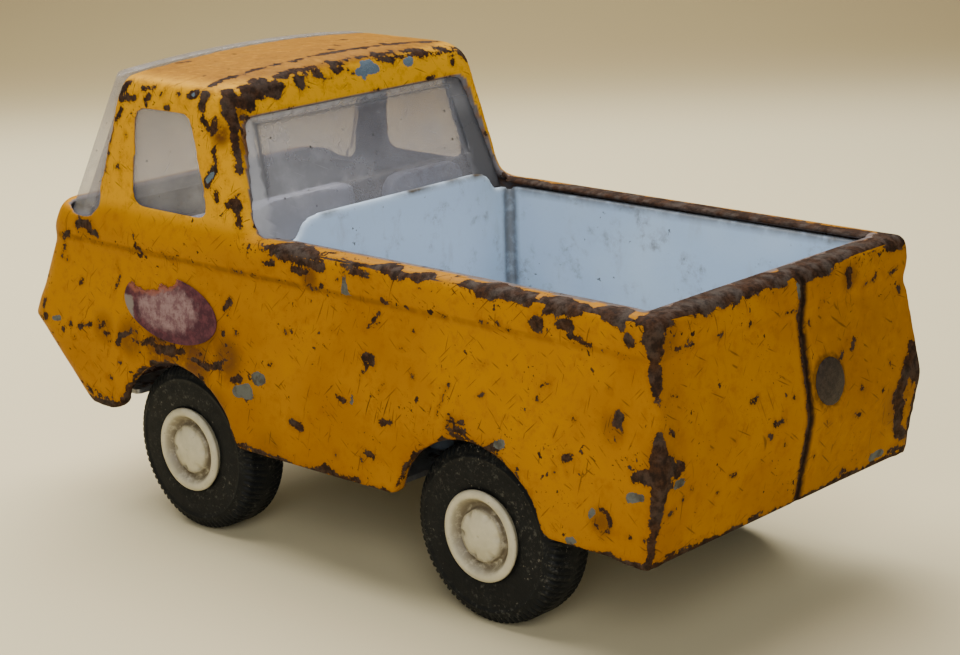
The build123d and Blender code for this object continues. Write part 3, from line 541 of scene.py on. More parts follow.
# Each mark is a tapered stroke on a face of the body: where it starts and ends on that face, and its
# radius at each end. Side faces are given by x and z, end faces by the distance to the right and z.
LEFT_RUST = [
    (-64, 48.8, -63.6, 49.1, 0.9, 0.8), (-57, 47.1, -53.5, 47.9, 0.35, 0.55),
    (-53.3, 49.6, -51.6, 49, 1, 0.8),
    (-47.6, 48.6, -47, 48.5, 1.35, 1.2), (-42.1, 46.9, -41.9, 46.9, 0.3, 0.3),
    (-40.4, 47.4, -40.2, 47.4, 0.45, 0.4),
    (-38.1, 47.1, -37, 47.2, 0.25, 0.3), (-29.9, 46.8, -29, 46.9, 0.2, 0.2),
    (-18.5, 46.9, -17, 47.2, 0.5, 0.4),
    (-16.2, 45.1, -13.3, 41.9, 0.28, 0.1), (-16.5, 43.7, -15.1, 42.9, 0.2, 0.1),
    (-9.7, 51, -9.4, 49.4, 0.3, 0.2),
    (-8.1, 48.9, -8, 48.9, 0.35, 0.3), (-4.7, 47.4, -4.5, 47.3, 0.6, 0.5), (-3.1, 46.8, -0.7, 47, 0.5, 0.3),
    (-62.1, 38.2, -61.7, 37.1, 0.85, 0.7), (-62.9, 36.3, -62.6, 35.8, 0.3, 0.2),
    (-60.3, 41.5, -60.1, 41.5, 0.3, 0.2),
    (-54.4, 36.4, -54, 36.4, 0.3, 0.2), (-49.5, 40.4, -47.7, 39.8, 0.2, 0.2),
    (-47.5, 38, -47.3, 37.9, 0.4, 0.3),
    (-38.2, 41.3, -37.1, 40.9, 0.22, 0.15), (-37.4, 36.7, -36.5, 36.2, 0.4, 0.25),
    (-23.7, 37, -23.6, 37, 0.3, 0.3),
    (-23.3, 43.4, -23.2, 43.4, 0.25, 0.2), (-21.1, 40.7, -20.9, 40.6, 0.3, 0.25),
    (-30.9, 37.1, -28.5, 32.2, 0.12, 0.08),
    (-14.9, 37.8, -13.6, 38.1, 0.95, 0.75), (-14.1, 36.9, -12.4, 34.3, 0.45, 0.12),
    (-17.7, 34.8, -17.3, 34.2, 0.2, 0.15),
    (-16.9, 33.6, -16.6, 33.4, 0.2, 0.15), (-6.9, 41.7, -6.1, 40.2, 0.12, 0.1),
    (3.9, 39.1, 4, 39.1, 0.35, 0.3),
    (-53.6, 30.9, -53, 30.5, 0.75, 0.6), (-53.3, 28.7, -53.2, 28.6, 0.3, 0.2),
    (-51.3, 28.2, -51.1, 28, 0.3, 0.2),
    (-60.6, 24.1, -60.9, 22.9, 0.35, 0.3), (-60.5, 21.9, -59.4, 21.3, 0.4, 0.3),
    (-58.6, 21.6, -58.2, 22.4, 0.3, 0.25),
    (-59.9, 24.5, -59, 24.6, 0.25, 0.25), (-64.4, 21.8, -64.1, 21.8, 0.4, 0.3),
    (-67.2, 22, -67, 21.8, 0.4, 0.4),
    (-40, 29.7, -38.4, 28.9, 0.8, 0.6), (-35.6, 29.2, -31.4, 29.8, 0.5, 0.7),
    (-33.6, 32, -33.2, 31.9, 0.5, 0.4),
    (-31.5, 31.9, -31, 31.7, 0.6, 0.4), (-33.9, 30.7, -30.8, 30.6, 0.55, 0.5),
    (-43.7, 26, -43.2, 25.8, 0.5, 0.4),
    (-45.9, 24.1, -45.6, 23.9, 0.4, 0.3), (-44.2, 27.3, -44, 27.2, 0.3, 0.3),
    (-19.3, 29.2, -17.2, 28.8, 0.45, 0.55),
    (-9.9, 30.6, -8.2, 31, 0.4, 0.35), (-15.3, 23, -13.6, 23.4, 0.4, 0.5),
    (-17.6, 22.9, -12.1, 24.1, 0.12, 0.1),
    (-12.9, 22, -12.7, 21.8, 0.35, 0.3), (-7.2, 21.6, -7, 21.5, 0.3, 0.25), (0.7, 24.6, 2.5, 25, 0.9, 0.65),
    (-11.8, 18.4, -9.8, 18.6, 0.6, 0.4), (-7.2, 18.4, -4.6, 19.2, 0.5, 0.8),
    (-4.2, 18.5, -1.6, 18.5, 0.6, 0.4),
    (-66, 18, -56, 17.9, 0.35, 0.3), (4, 18.2, 16.4, 18.9, 0.4, 0.55), (16.6, 19.8, 22, 25.4, 0.35, 0.3),
    (4.9, 47, 5.4, 47, 0.25, 0.2), (9.6, 46.9, 11, 47, 0.25, 0.25), (13, 46.9, 15.2, 46.9, 0.25, 0.25),
    (6, 48.2, 7.2, 48, 0.12, 0.12), (16.7, 41.5, 17.7, 40.5, 0.85, 0.45),
    (14.7, 37.1, 15, 37.1, 0.45, 0.35),
    (17.8, 36.6, 18, 36.4, 0.4, 0.35), (6.8, 33.3, 7, 33.3, 0.3, 0.3), (14.2, 29.7, 15.9, 29.3, 0.9, 0.5),
    (28.6, 47.3, 30.6, 46.8, 0.2, 0.3), (30.6, 46.8, 32.7, 47.3, 0.3, 0.2),
    (38.2, 47.2, 38.6, 47.4, 0.4, 0.3),
    (51.4, 49.5, 54, 49.2, 1, 0.8), (49, 48.1, 50.6, 48.4, 0.6, 0.7), (54, 51, 54.3, 51, 0.6, 0.5),
    (53.9, 39.5, 54.2, 39.2, 0.55, 0.4), (44.2, 43.5, 43.7, 41.7, 0.12, 0.15),
    (43.7, 41.7, 45.1, 39.2, 0.15, 0.25),
    (57.7, 43.2, 57.9, 42.5, 0.15, 0.15), (18.3, 30.8, 27, 31, 0.4, 0.3),
    (30.2, 31.5, 34.2, 31.2, 1.1, 0.7),
    (34.6, 31.9, 35, 31.8, 0.5, 0.4), (36.4, 31.5, 41, 31.8, 0.3, 0.2), (43.4, 31.9, 44.2, 30.3, 0.6, 0.5),
    (46.7, 31.6, 47.7, 31.6, 0.4, 0.35), (46.3, 30.6, 46.6, 30.6, 0.25, 0.2),
    (56.7, 31.8, 57.1, 31.7, 0.45, 0.3),
    (63.3, 32, 66.5, 31.3, 0.6, 0.8), (64, 34.7, 64.4, 33.6, 0.6, 0.5), (56.1, 29.6, 56.5, 29.5, 0.4, 0.3),
    (43.8, 27.4, 44.1, 27.2, 0.35, 0.3), (46.6, 24.2, 47.4, 24, 0.35, 0.2),
    (46.6, 20.3, 48.2, 20.3, 0.4, 0.3),
    (50, 20.4, 51.6, 21.5, 0.35, 0.3), (56.4, 22.8, 57.5, 23.4, 0.35, 0.3),
    (60.6, 27.3, 61.4, 27.8, 0.4, 0.3),
    (22.6, 28.3, 26.4, 28.6, 0.3, 0.4), (36.6, 28.2, 41.2, 24.2, 0.2, 0.15),
    (35.2, 32.6, 37.6, 31.6, 0.7, 0.5),
    (21.6, 30.4, 25.2, 31.2, 0.7, 0.4), (40.6, 33.2, 43, 32, 0.5, 0.6), (26.6, 32.2, 29.2, 31.4, 0.35, 0.7),
    (17, 32.4, 19.8, 31.2, 0.3, 0.5), (47.6, 33.4, 49.8, 32.4, 0.45, 0.3),
    (51.2, 32.6, 54.4, 31.8, 0.35, 0.5),
    (-4.6, 50.4, 2.2, 50.9, 0.9, 0.7), (3.2, 50.6, 8.8, 51.4, 0.8, 0.6), (-14.8, 50.6, -10.8, 51, 0.7, 0.8),
    (-1.2, 49, 1.6, 49.2, 0.5, 0.7), (5.8, 49.6, 8.2, 49, 0.6, 0.3), (56.6, 47.4, 58.8, 46, 0.5, 0.4),
    (58.4, 44.8, 59.2, 43, 0.5, 0.3), (62.2, 29.2, 63, 27, 0.5, 0.4), (52, 20.6, 56, 22.2, 0.4, 0.5),
]
LEFT_STEEL = [
    (-10.7, 46.9, -8.8, 47.1, 0.4, 0.3), (-9.5, 47.5, -9.6, 49.8, 0.8, 0.3),
    (-66.6, 27.9, -64.5, 27.4, 0.55, 0.75),
    (-54.4, 18.9, -53.2, 18.6, 0.55, 0.5), (-41.4, 30.4, -40.4, 30, 0.7, 0.6),
    (-57.9, 24.1, -57.4, 23.2, 0.5, 0.35),
    (9, 30.8, 10.1, 30.6, 1.05, 1.15), (12.4, 28.1, 15.1, 27.5, 1.4, 0.9),
    (59.8, 32.3, 61.6, 32, 0.5, 0.35),
    (-11.2, 31.7, -11.1, 30.7, 0.3, 0.3),
]
TAIL_RUST = [
    (-26.2, 47.4, -22.8, 47.5, 0.3, 0.4), (-18.2, 47.3, -16.2, 47.2, 0.2, 0.4),
    (-9.7, 47.1, -8.8, 47.1, 0.3, 0.3),
    (-3, 47.2, -2.8, 47.2, 0.25, 0.2), (-0.9, 47, 1, 46.9, 0.4, 0.35),
    (-27.7, 41.4, -26.5, 41.3, 0.35, 0.3),
    (-28.7, 37, -27.9, 36.1, 0.35, 0.4), (-10.4, 36.5, -9.2, 36.6, 0.5, 0.45),
    (-0.7, 34.7, -0.5, 34.5, 0.5, 0.4),
    (-6, 32.1, -5.8, 32.1, 0.5, 0.45), (-4.4, 32.1, -4.2, 32.1, 0.5, 0.45),
    (-7.1, 30.6, -6.7, 30.2, 0.4, 0.35),
    (-3.2, 28.4, -3.1, 28.1, 0.25, 0.3), (-15.4, 26.9, -14.4, 26.6, 0.25, 0.35),
    (-24.6, 28.1, -24.5, 27.3, 0.25, 0.2),
    (-26.4, 26.8, -26.1, 26.6, 0.35, 0.3), (-29, 25.2, -28.3, 25, 0.4, 0.35),
    (-18.2, 25.2, -17.8, 25.1, 0.2, 0.15),
    (-28.6, 31.6, -27.2, 31.8, 1.1, 0.8), (-30.5, 33.2, -29.4, 33, 1.3, 0.8),
    (-30.8, 30.2, -29.6, 29.6, 0.9, 0.5),
    (14.2, 49.7, 14.4, 47.9, 0.9, 0.7), (18.4, 46.8, 21.2, 47.1, 0.25, 0.35),
    (21.3, 48.1, 21.4, 47.1, 0.35, 0.3),
    (7.6, 46.7, 8.3, 46.7, 0.25, 0.3), (25.4, 47.3, 26.9, 47.5, 0.3, 0.35), (28, 44.6, 28.1, 44, 0.35, 0.3),
    (11.2, 37.4, 11.9, 38.3, 0.45, 0.4), (14.4, 38.2, 15, 39.3, 0.45, 0.5),
    (13.3, 39.8, 13.9, 39.6, 0.2, 0.2),
    (15.7, 32, 16.3, 31.9, 0.35, 0.35), (21.4, 30.5, 21.6, 30.2, 0.5, 0.45),
    (14.6, 28, 16, 27.8, 0.35, 0.5),
    (14.1, 26.7, 14.2, 26.6, 0.25, 0.2), (10.9, 28.8, 11, 28.7, 0.25, 0.2),
    (7.1, 29.1, 7.3, 29.1, 0.2, 0.2),
    (18.5, 21.5, 18.6, 21.4, 0.3, 0.25), (29.6, 35.3, 30.4, 33.8, 1, 1.4), (27.5, 31.6, 28.8, 33, 1.3, 1.4),
    (26, 28.2, 26.8, 30, 1.5, 1.4), (27, 26.2, 27.6, 22.8, 1.4, 1.1), (29.6, 30.6, 31.2, 33, 1, 1.2),
    (28.2, 21.6, 29.6, 20.9, 1.1, 1), (31.4, 30, 30.8, 21, 0.8, 0.7), (26.6, 19, 30, 18.6, 0.5, 0.5),
    (23.4, 34.8, 24.2, 33, 0.15, 0.2), (4.6, 44.4, 4.9, 43.6, 0.25, 0.15), (5, 24.6, 5.2, 23.8, 0.2, 0.2),
    (12.8, 19, 14.6, 19.2, 0.45, 0.3), (-28, 18.6, -24, 18.6, 0.35, 0.25), (-9, 18.4, -6, 18.5, 0.4, 0.3),
]
TAIL_STEEL = [(-28.4, 29.4, -27.2, 29.4, 0.6, 0.75), (21.6, 19.3, 24.4, 19.4, 0.65, 0.7),
    (1.7, 50.3, 1.9, 48.6, 0.5, 0.4)]
CAB_LEFT_RUST = [
    (13.6, 73.6, 16.4, 72.6, 1, 1.3), (17.6, 72.4, 16.8, 68, 1.2, 0.9), (16.2, 68, 16.6, 65.4, 0.9, 0.8),
    (15.6, 63.6, 15, 61.8, 0.9, 0.75), (20.3, 65.2, 19.8, 62.8, 0.45, 0.5),
    (20.2, 61.8, 21.9, 59.7, 0.85, 0.8),
    (19.7, 58.3, 19.5, 57.4, 0.55, 0.45), (22, 74.4, 23.1, 71.4, 1, 0.75),
    (22.7, 69.6, 21.5, 68.2, 0.7, 0.5),
    (24.6, 73.6, 26.5, 72.9, 0.9, 0.6), (28.4, 73.2, 29.1, 73.1, 0.35, 0.3),
    (31.8, 73.3, 33.2, 72.6, 0.4, 0.35),
    (34.4, 73.7, 37.4, 73.1, 0.5, 0.5), (35.8, 72, 36.6, 71.2, 0.45, 0.5),
    (31.2, 70.6, 31.8, 70.4, 0.6, 0.4),
    (39.4, 71.5, 43, 71, 0.5, 0.6), (41.2, 74, 42.9, 72, 0.7, 0.8), (42.8, 69.2, 43.6, 68, 0.5, 0.4),
    (44.2, 67.6, 44.5, 67, 0.5, 0.4), (41.6, 65.2, 41.9, 65.1, 0.25, 0.25),
    (43.8, 59.8, 44.3, 59.7, 0.6, 0.45),
    (46.3, 61.7, 46.6, 61.2, 0.35, 0.3), (47, 59.4, 47.1, 58.9, 0.3, 0.3), (14.6, 58.6, 17, 57, 0.8, 0.7),
    (15.4, 57.4, 14.8, 53.9, 1.15, 0.7), (35, 52, 35.6, 51.5, 0.3, 0.25), (20.6, 67.6, 20, 69.8, 0.5, 0.6),
    (45, 66, 50.2, 53.4, 0.18, 0.3), (13.4, 66.4, 13.2, 64.4, 0.25, 0.2), (28, 54, 28.6, 53.9, 0.25, 0.2),
]
CAB_LEFT_STEEL = [(20.6, 61.2, 21.6, 60.2, 0.55, 0.5), (24.9, 73.4, 25.6, 73.1, 0.4, 0.3)]
CAB_REAR_RUST = [
    (-22.6, 73.4, -16.2, 73.3, 1.5, 1.2), (-17.4, 72.6, -16.8, 72.2, 1, 0.8),
    (-11.9, 73.9, -11.5, 73, 1, 0.9),
    (-7.4, 74.5, -6.9, 73.9, 0.9, 0.7), (-3.6, 74.4, -2.9, 74, 0.8, 0.6),
    (-0.7, 73.8, -0.6, 73.7, 0.3, 0.2),
    (5, 74.7, 24, 73.9, 0.4, 0.5), (8.4, 74.4, 10.2, 74.3, 0.6, 0.4), (23.1, 72.1, 23.3, 71.7, 0.5, 0.5),
    (16, 70.1, 18.2, 70.2, 0.25, 0.35), (20.8, 69.6, 22.4, 69.5, 0.3, 0.25),
    (25.6, 73.7, 27.2, 72.6, 0.8, 1.1),
    (26.8, 59.6, 27.1, 59.2, 0.4, 0.35), (-27.4, 73, -26.8, 69.2, 1.3, 1.1),
    (-25.8, 73, -22.8, 71.2, 1.2, 0.9),
    (-27.2, 68.6, -28, 62.4, 0.8, 0.75), (-24.9, 69.9, -23.7, 69.5, 0.6, 0.4),
    (-25.8, 68.2, -25.2, 66.8, 0.5, 0.3),
    (-27.9, 53.8, -27.5, 53.2, 0.5, 0.3), (-15.6, 69.8, -14.2, 69.7, 0.25, 0.25),
    (3.8, 70, 4.8, 70, 0.2, 0.25),
    (-26, 75, 24, 74.9, 0.05, 0.05),
]
CAB_REAR_STEEL = [(1.4, 73.2, 5.2, 73.3, 0.7, 0.9), (2.8, 74.3, 4.6, 74.4, 0.7, 0.6),
    (12.6, 73.3, 13.6, 73.4, 0.75, 0.8),
                  (2.2, 72.4, 2.4, 71.8, 0.4, 0.3)]
CORNER_RUST = [
    ((-68, 30.4, 51), (-68.2, 30.4, 46.6), 1.9, 1.3), ((-67, 30.9, 48.9), (-66.4, 30.9, 49.3), 0.9, 0.6),
    ((-68.2, 30.2, 45.2), (-69, 31, 41.8), 1.5, 1.3), ((-69.4, 31.5, 36.4), (-69.8, 31.8, 31.6), 1.3, 2.3),
    ((-69.8, 31.8, 30.2), (-69, 31.8, 24), 1.7, 1.2), ((-68.9, 31.8, 24), (-67.6, 31.8, 18), 1.1, 0.9),
    ((-68.4, 32, 31.2), (-65.4, 32, 30.6), 1.4, 0.8), ((-68.6, -30.5, 50.5),
    (-68.6, -30.6, 47.5), 1.2, 0.6),
    ((-69.4, -31.6, 38), (-69.9, -31.9, 29), 0.7, 1.6), ((-69.6, -31.9, 29), (-67.7, -31.9, 18), 1.5, 0.8),
]
# Brown stains round old damage: where, how far they reach and how strong they are
STAINS = [
    ((-2, 31, 48.4), 2.3, 0.9), ((-61, 31.2, 36.4), 2.6, 0.55), ((-59.2, 32, 22.7), 2.5, 0.8),
    ((-68.3, -14.6, 48.8), 2.2, 0.8), ((18.9, 28.9, 67.6), 2.6, 1), ((15.6, 25.6, 66), 2.8, 0.85),
    ((33, 32, 31.6), 5, 1), ((25, 32, 31), 5, 1), ((17, 31.7, 32.6), 4.2, 0.9),
    ((41, 32, 32), 4, 0.8), ((21, 31.6, 35.4), 4, 0.6), ((48, 31.8, 32.6), 3.2, 0.6),
    ((-69.4, -27, 27), 5, 0.6), ((-70, 31.8, 33), 3.5, 0.5), ((17, 26, 71.5), 3, 0.8),
    ((-31.8, 31.9, 31.4), 1.8, 0.7), ((20, 31.8, 25), 3, 0.5), ((40, 31.8, 30.5), 3, 0.4),
    ((8, 31.9, 19.5), 4, 0.35), ((-68.2, 28, 49), 3, 0.5), ((52, 30.9, 49.4), 3, 0.4),
]


def on_left(a, z):
    return a, half_width_at(z), z


def on_tail(a, z):
    return tail_at(z), -a, z


def on_face(table, face):
    """A table's marks as strokes in space."""
    return [(face(a, b), face(c, d), r, s) for a, b, c, d, r, s in table]


def scattered(rng, count, spot):
    """Small random strokes on a face that the tables leave out. spot makes two random numbers a place."""
    marks = []
    for _ in range(count):
        start = np.array(spot(*rng.random(2)))
        radius = 0.2 + 0.7 * rng.random() ** 3
        end = start + (rng.random(3) - 0.5) * 3.0 * radius * np.array([1.6, 0.3, 1.0])
        marks.append((start, end, radius, radius * (0.4 + 0.6 * rng.random())))
    return marks


def unseen_marks():
    """Marks for the right side, the nose, the bonnet, the roof and the cab's right side."""
    rng = np.random.default_rng(20)

    def right(u, v):
        z = 18.5 + 33 * v
        return (-66 + 120 * u, -half_width_at(z), z)

    def nose(u, v):
        z = 20 + 31 * v
        return (nose_at(z), -26 + 52 * u, z)

    def roof(u, v):
        return (23 + 19 * u, -25 + 50 * v, ROOF_Z - 0.3)

    def cab_right(u, v):
        z = 53 + 20 * v
        return (16 + 4 * u, -half_width_at(z), z)

    marks = scattered(rng, 85, right) + scattered(rng, 36, nose)
    marks += scattered(rng, 16, roof) + scattered(rng, 9, cab_right)
    long_marks = ((-69, 33, 5, 1.8), (-40, 30.5, 4, 0.9), (12, 30.6, 9, 0.8), (50, 47.6, 5, 0.8))
    for x, z, length, radius in long_marks:
        y = -half_width_at(z)
        marks.append(((x, y, z), (x + length, y, z - 0.6), radius, radius * 0.5))
    return marks


FAR = 4.0


def stroke_field(points, marks):
    """Signed distance in mm from each point to the nearest stroke, at most FAR."""
    nearest = np.full(len(points), FAR)
    for start, end, first, last in marks:
        start, end = np.array(start, float), np.array(end, float)
        low, high = np.minimum(start, end) - FAR, np.maximum(start, end) + FAR
        near = np.flatnonzero(np.all((points > low) & (points < high), axis=1))
        along = end - start
        t = np.clip((points[near] - start) @ along / (along @ along + 1e-6), 0, 1)
        gap = np.linalg.norm(points[near] - start - t[:, None] * along, axis=1) - (first + (last - first) * t)
        nearest[near] = np.minimum(nearest[near], gap)
    return nearest


def rim_field(p):
    """Signed distance to the worn part of the rim, measured over its rounded edge and along its flange."""
    x, y, z = p.T
    left, right, tail = y > 24.5, y < -24.5, x < BED_REAR_X + 0.4
    ragged = 1.1 * ripple(p, 3.2, 1) + 0.7 * ripple(p, 1.3, 2)
    down = RIM_Z - z
    across = np.where(tail, x - BAND_TAIL_X, BAND_HALF_WIDTH - np.abs(y))
    drop_left = np.interp(x, [-70, -62, -56, -50, -45, -36, -30, -22, -14, -5, 4, 9, 13, 20],
                          [2.6, 1.9, 1.3, 1.7, 1.0, 1.4, 0.5, 1.2, 0.3, 0.9, 1.2, 0.4, -0.8, -2.0])
    reach_left = np.interp(x, [-70, -62, -55, -48, -40, -30, -20, -8, 2, 9, 14],
                           [6.5, 4.2, 3.3, 2.3, 2.2, 1.6, 1.8, 1.2, 1.6, 0.4, -2.0])
    patches = np.interp(x, [-60, -40, -10, 12], [0.3, 1.5, 2.3, 1.6]) * ripple(p, 4.5, 3)
    drop = np.select([tail, left], [1.5 + 0.3 * ripple(p, 9, 4), drop_left], 0.4)
    reach = np.select([tail, left], [4.0 + 0.8 * ripple(p, 5, 5), reach_left + patches], 0.3)
    on_top = down < 0.6
    field = np.where(on_top, across - reach, down - drop) + ragged * 0.7
    # Islands of enamel left among the rust, most of them on the left side
    left_over = 2.2 * ripple(p * np.array([0.6, 1, 1]), 1.9, 14) + 0.9 * ripple(p, 0.9, 15)
    field += np.select([tail, left], [0.55, 1.0], 0.8) * np.clip(left_over, -0.4, 2.5)
    # The right side's flange is worn along its inner edge instead
    inner = 2.6 - across + 0.8 * ripple(p, 6, 6)
    field = np.where(right & ~tail & on_top, np.minimum(field + 1.0, inner + ragged * 0.5), field)
    beside_bed = (z > 48) & (z < RIM_Z + 0.5) & (x <= np.where(left, 13.0, 12.0))
    return np.where(beside_bed, field, FAR)


def edge_field(p):
    """Signed distance to the thin wear along the sill, the arches, the roof's bevel and the openings."""
    x, y, z = p.T
    ragged = 0.35 * ripple(p, 2.4, 7) + 0.3 * ripple(p, 0.9, 8)
    sill = z - np.where(x > 40, 19.6, 18.0) - 0.25
    field = np.minimum(FAR, sill + 1.2 * ragged + 0.25 * ripple(p, 11, 9))
    for centre in ARCHES:
        gap = np.hypot(x - centre, z - WHEEL_RADIUS) - ARCH_RADIUS - 0.30
        field = np.minimum(field, np.where(z < 31, np.abs(gap) - 0.10, FAR) + 1.5 * ragged)
    outside = np.abs(y) > half_width_at(z) - 1.4
    nose_edge = np.abs(nose_at(z) - x) + 0.6 * (z > BELT_Z)
    field = np.minimum(field, np.where(outside & (z < RIM_Z), nose_edge - 0.35 + 2.2 * ragged, FAR))
    # The two edges of the bevel round the back of the roof
    rear = x - cab_rear_at(z)
    high = z > 72.8
    field = np.minimum(field, np.where(high, np.abs(rear - 4.2) - 0.42 + 1.6 * ragged, FAR))
    low_edge = np.abs(rear - 0.9) - np.interp(-y, [-28, -14, 0, 28], [0.5, 0.35, 0.30, 0.55])
    field = np.minimum(field, np.where(high & (rear < 3), low_edge + 2.2 * ragged, FAR))
    seam = np.abs(y - SEAM_Y - 0.3) - 0.55
    return np.minimum(field, np.where((x < -66) & (z > 18), seam + 0.7 * ragged, FAR))


def facing_in(data, p):
    """Whether each vertex is on the inside of the hollow body: its normal points back at the middle."""
    normals = np.empty(len(data.vertices) * 3, np.float32)
    data.vertex_normals.foreach_get("vector", normals)
    middle = np.stack([np.clip(p[:, 0], -52, 44), 0 * p[:, 1], np.clip(p[:, 2], 38, 60)], axis=1)
    return np.einsum("ij,ij->i", normals.reshape(-1, 3), p - middle) < 0


def wear(data):
    """Stores where the enamel is chipped, stained, dirty and rubbed, where painted shade darkens it and where
    a painted sheen makes it paler.
    """
    p = points_of(data)
    x, y, z = p.T
    rust = (on_face(LEFT_RUST, on_left) + on_face(TAIL_RUST, on_tail) + on_face(CAB_LEFT_RUST, on_left)
            + on_face(CAB_REAR_RUST, on_tail) + CORNER_RUST + unseen_marks())
    steel = (on_face(LEFT_STEEL, on_left) + on_face(TAIL_STEEL, on_tail) + on_face(CAB_LEFT_STEEL, on_left)
             + on_face(CAB_REAR_STEEL, on_tail))
    rim = rim_field(p)
    stain = np.zeros(len(p))
    for place, reach, strength in STAINS:
        away = np.linalg.norm(p - np.array(place), axis=1) / reach
        stain = np.maximum(stain, strength * ramp(away, 1.25, 0.3))
    inside = facing_in(data, p) & (z < 74)
    outside = np.abs(y) > half_width_at(z) - 1.2
    tail, below_rim = x < -65, z < RIM_Z

    # Dirt and a painted shadow under the belt step, weaker towards the tail
    belt_dirt_and_shadow = ramp(np.abs(z - BELT_Z - 0.2), 0.75, 0.15) * (x < 62)
    belt_dirt_and_shadow = belt_dirt_and_shadow * np.interp(x, [-67, -50, 0], [0.35, 0.6, 1.0])
    seam = ramp(np.abs(y - SEAM_Y), 1.5, 0.6) * tail * below_rim
    from_rivet = np.hypot(y - RIVET_MIDDLE[1], z - RIVET_MIDDLE[2]) - RIVET_HALF[1]
    rivet = ramp(np.abs(from_rivet - 0.2), 0.7, 0.2) * (x < -67)
    # Painted shade that dims the roof's top
    roof = 0.42 * ramp(z, 74.2, 75.2)
    # Painted shade on the tail, stronger on its right part
    tail_painted_shade = (x < -66) * (0.05 + 0.13 * ramp(y, SEAM_Y, SEAM_Y - 6))

    crease = ramp(np.abs(z - CREASE_Z - 0.6), 3.2, 0.4) * outside
    smear = crease * np.interp(x, [8, 18, 38, 48], [0.25, 1.0, 1.0, 0.25]) * (y > 0)
    near_belt = ramp(np.abs(z - BELT_Z - 0.8), 1.6, 0.3) * outside
    near_rim = ramp(np.abs(z - RIM_Z), 3.2, 0.6) * (x < 14)

    store(data, "chip", np.minimum.reduce([stroke_field(p, rust), rim, edge_field(p)]))
    store(data, "steel", stroke_field(p, steel))
    store(data, "stain", stain)
    # Painted shadow: a near-black line along the tail seam's gap
    store(data, "gap", 0.85 * ramp(np.abs(y - SEAM_Y + 0.1), 0.55, 0.3) * tail * (z < RIM_Z - 0.6))
    # dirt mixes real dirt with painted shade: the belt step's shadow, the tail's shade and the roof's top
    store(data, "dirt", np.maximum.reduce([0.55 * belt_dirt_and_shadow, seam, 0.8 * rivet, 0.15 * inside, roof, tail_painted_shade]))
    rubbed = [0.35 * near_belt, smear, 0.3 * crease, 0.45 * near_rim, 0.4 * stain]
    store(data, "rub", np.maximum.reduce(rubbed))
    store(data, "polish", ramp(rim, 1.2, -1.0) * 0.3)
    # Painted sheen over the cab, from above the rim to below the roof's top
    store(data, "painted_sheen", ramp(z, 51.5, 54.5) * ramp(z, 75.2, 74.4) * (x > 11))
    store(data, "inner", 1.0 * inside)


def body_piece():
    """The pressed body: the CAD shell with soft creases, gentle dents and its worn enamel."""
    obj = evened("body_shell", "body_pressing", 0.5)
    data = obj.data
    p = points_of(data)
    x, y, z = p.T
    arch = np.zeros(len(p))
    for centre in ARCHES:
        gap = np.abs(np.hypot(x - centre, z - WHEEL_RADIUS) - ARCH_RADIUS - 0.6)
        arch = np.maximum(arch, ramp(gap, 3.2, 1.6) * ramp(np.abs(y), 27, 29.5) * ramp(z, 20, 23))
    corner = ramp(x, -64.5, -66.5) * ramp(np.abs(y), 27.5, 29.5)
    tip = ramp(x, 65, 67.5)
    soft = np.maximum.reduce([
        ramp(np.abs(z - CREASE_Z), 3.0, 1.2) * (1 - arch) * (1 - corner) * (1 - tip),
        ramp(np.abs(z - BELT_Z), 2.6, 1.2),
        ramp(np.abs(z - RIM_Z), 3.5, 1.5) * ramp(x, 12, 17) * ramp(np.abs(y), 26, 28),
        ramp(z, 71, 74), 0.6 * ramp(np.abs(z - 54), 4, 2) * ramp(np.abs(x - 11), 5, 3)])
    rear_window = ramp(z, 53.5, 56.0) * ramp(x, 22.5, 20.5)
    general = 1 - 0.75 * np.maximum(corner, tip)
    for weights, passes in ((general, 5), (arch, 22), (rear_window, 6), (soft, 14)):
        p = smoothed(data, p, weights, passes)

    dent = (0.14 + 0.10 * ripple(p, 14, 11) + 0.05 * ripple(p, 6, 12)) * (1 - corner)
    p[:, 1] -= np.sign(p[:, 1]) * ramp(np.abs(p[:, 1]), 29, 30.5) * dent
    p[:, 0] += ramp(p[:, 0], -66.5, -67.5) * dent
    # The crease rises a little towards the nose's tip
    p[:, 2] += 0.9 * ramp(x, 50, 68) * ramp(np.abs(z - CREASE_Z), 7.0, 2.0)
    # The valance ahead of the front wheels and the tail's lower edge hang a little lower than the sills
    p[:, 2] -= 0.8 * ramp(x, 44, 48) * ramp(z, 25, 20) + 0.5 * ramp(x, -60, -64) * ramp(z, 22, 19)
    set_points(data, p)
    x, y, z = p.T
    outer = ((half_width_at(z) - np.abs(y) < 0.75) | (np.abs(x - tail_at(z)) < 0.7)
             | (np.abs(nose_at(z) - x) < 0.7) | (z > RIM_Z - 0.45))
    data = thinned(obj, outer, 0.62)
    lowest = (TAIL_X + 0.02, -HALF_WIDTH + 0.02, 0)
    highest = (NOSE_X - 0.02, HALF_WIDTH - 0.02, ROOF_Z - 0.01)
    set_points(data, np.clip(points_of(data), lowest, highest))
    shade_smooth(data)
    wear(data)
    standing_in(obj, "body_shell", body_look())


# ---------------------------------------------------------------- wheels

LUGS = 78
TYRE_OUT, TYRE_IN, BORE_RADIUS, TREAD_RADIUS, SHOULDER_RADIUS = 28.75, 19.65, 6.63, 13.98, 12.1
CAP_OUT, CAP_RADIUS = 29.75, 3.9


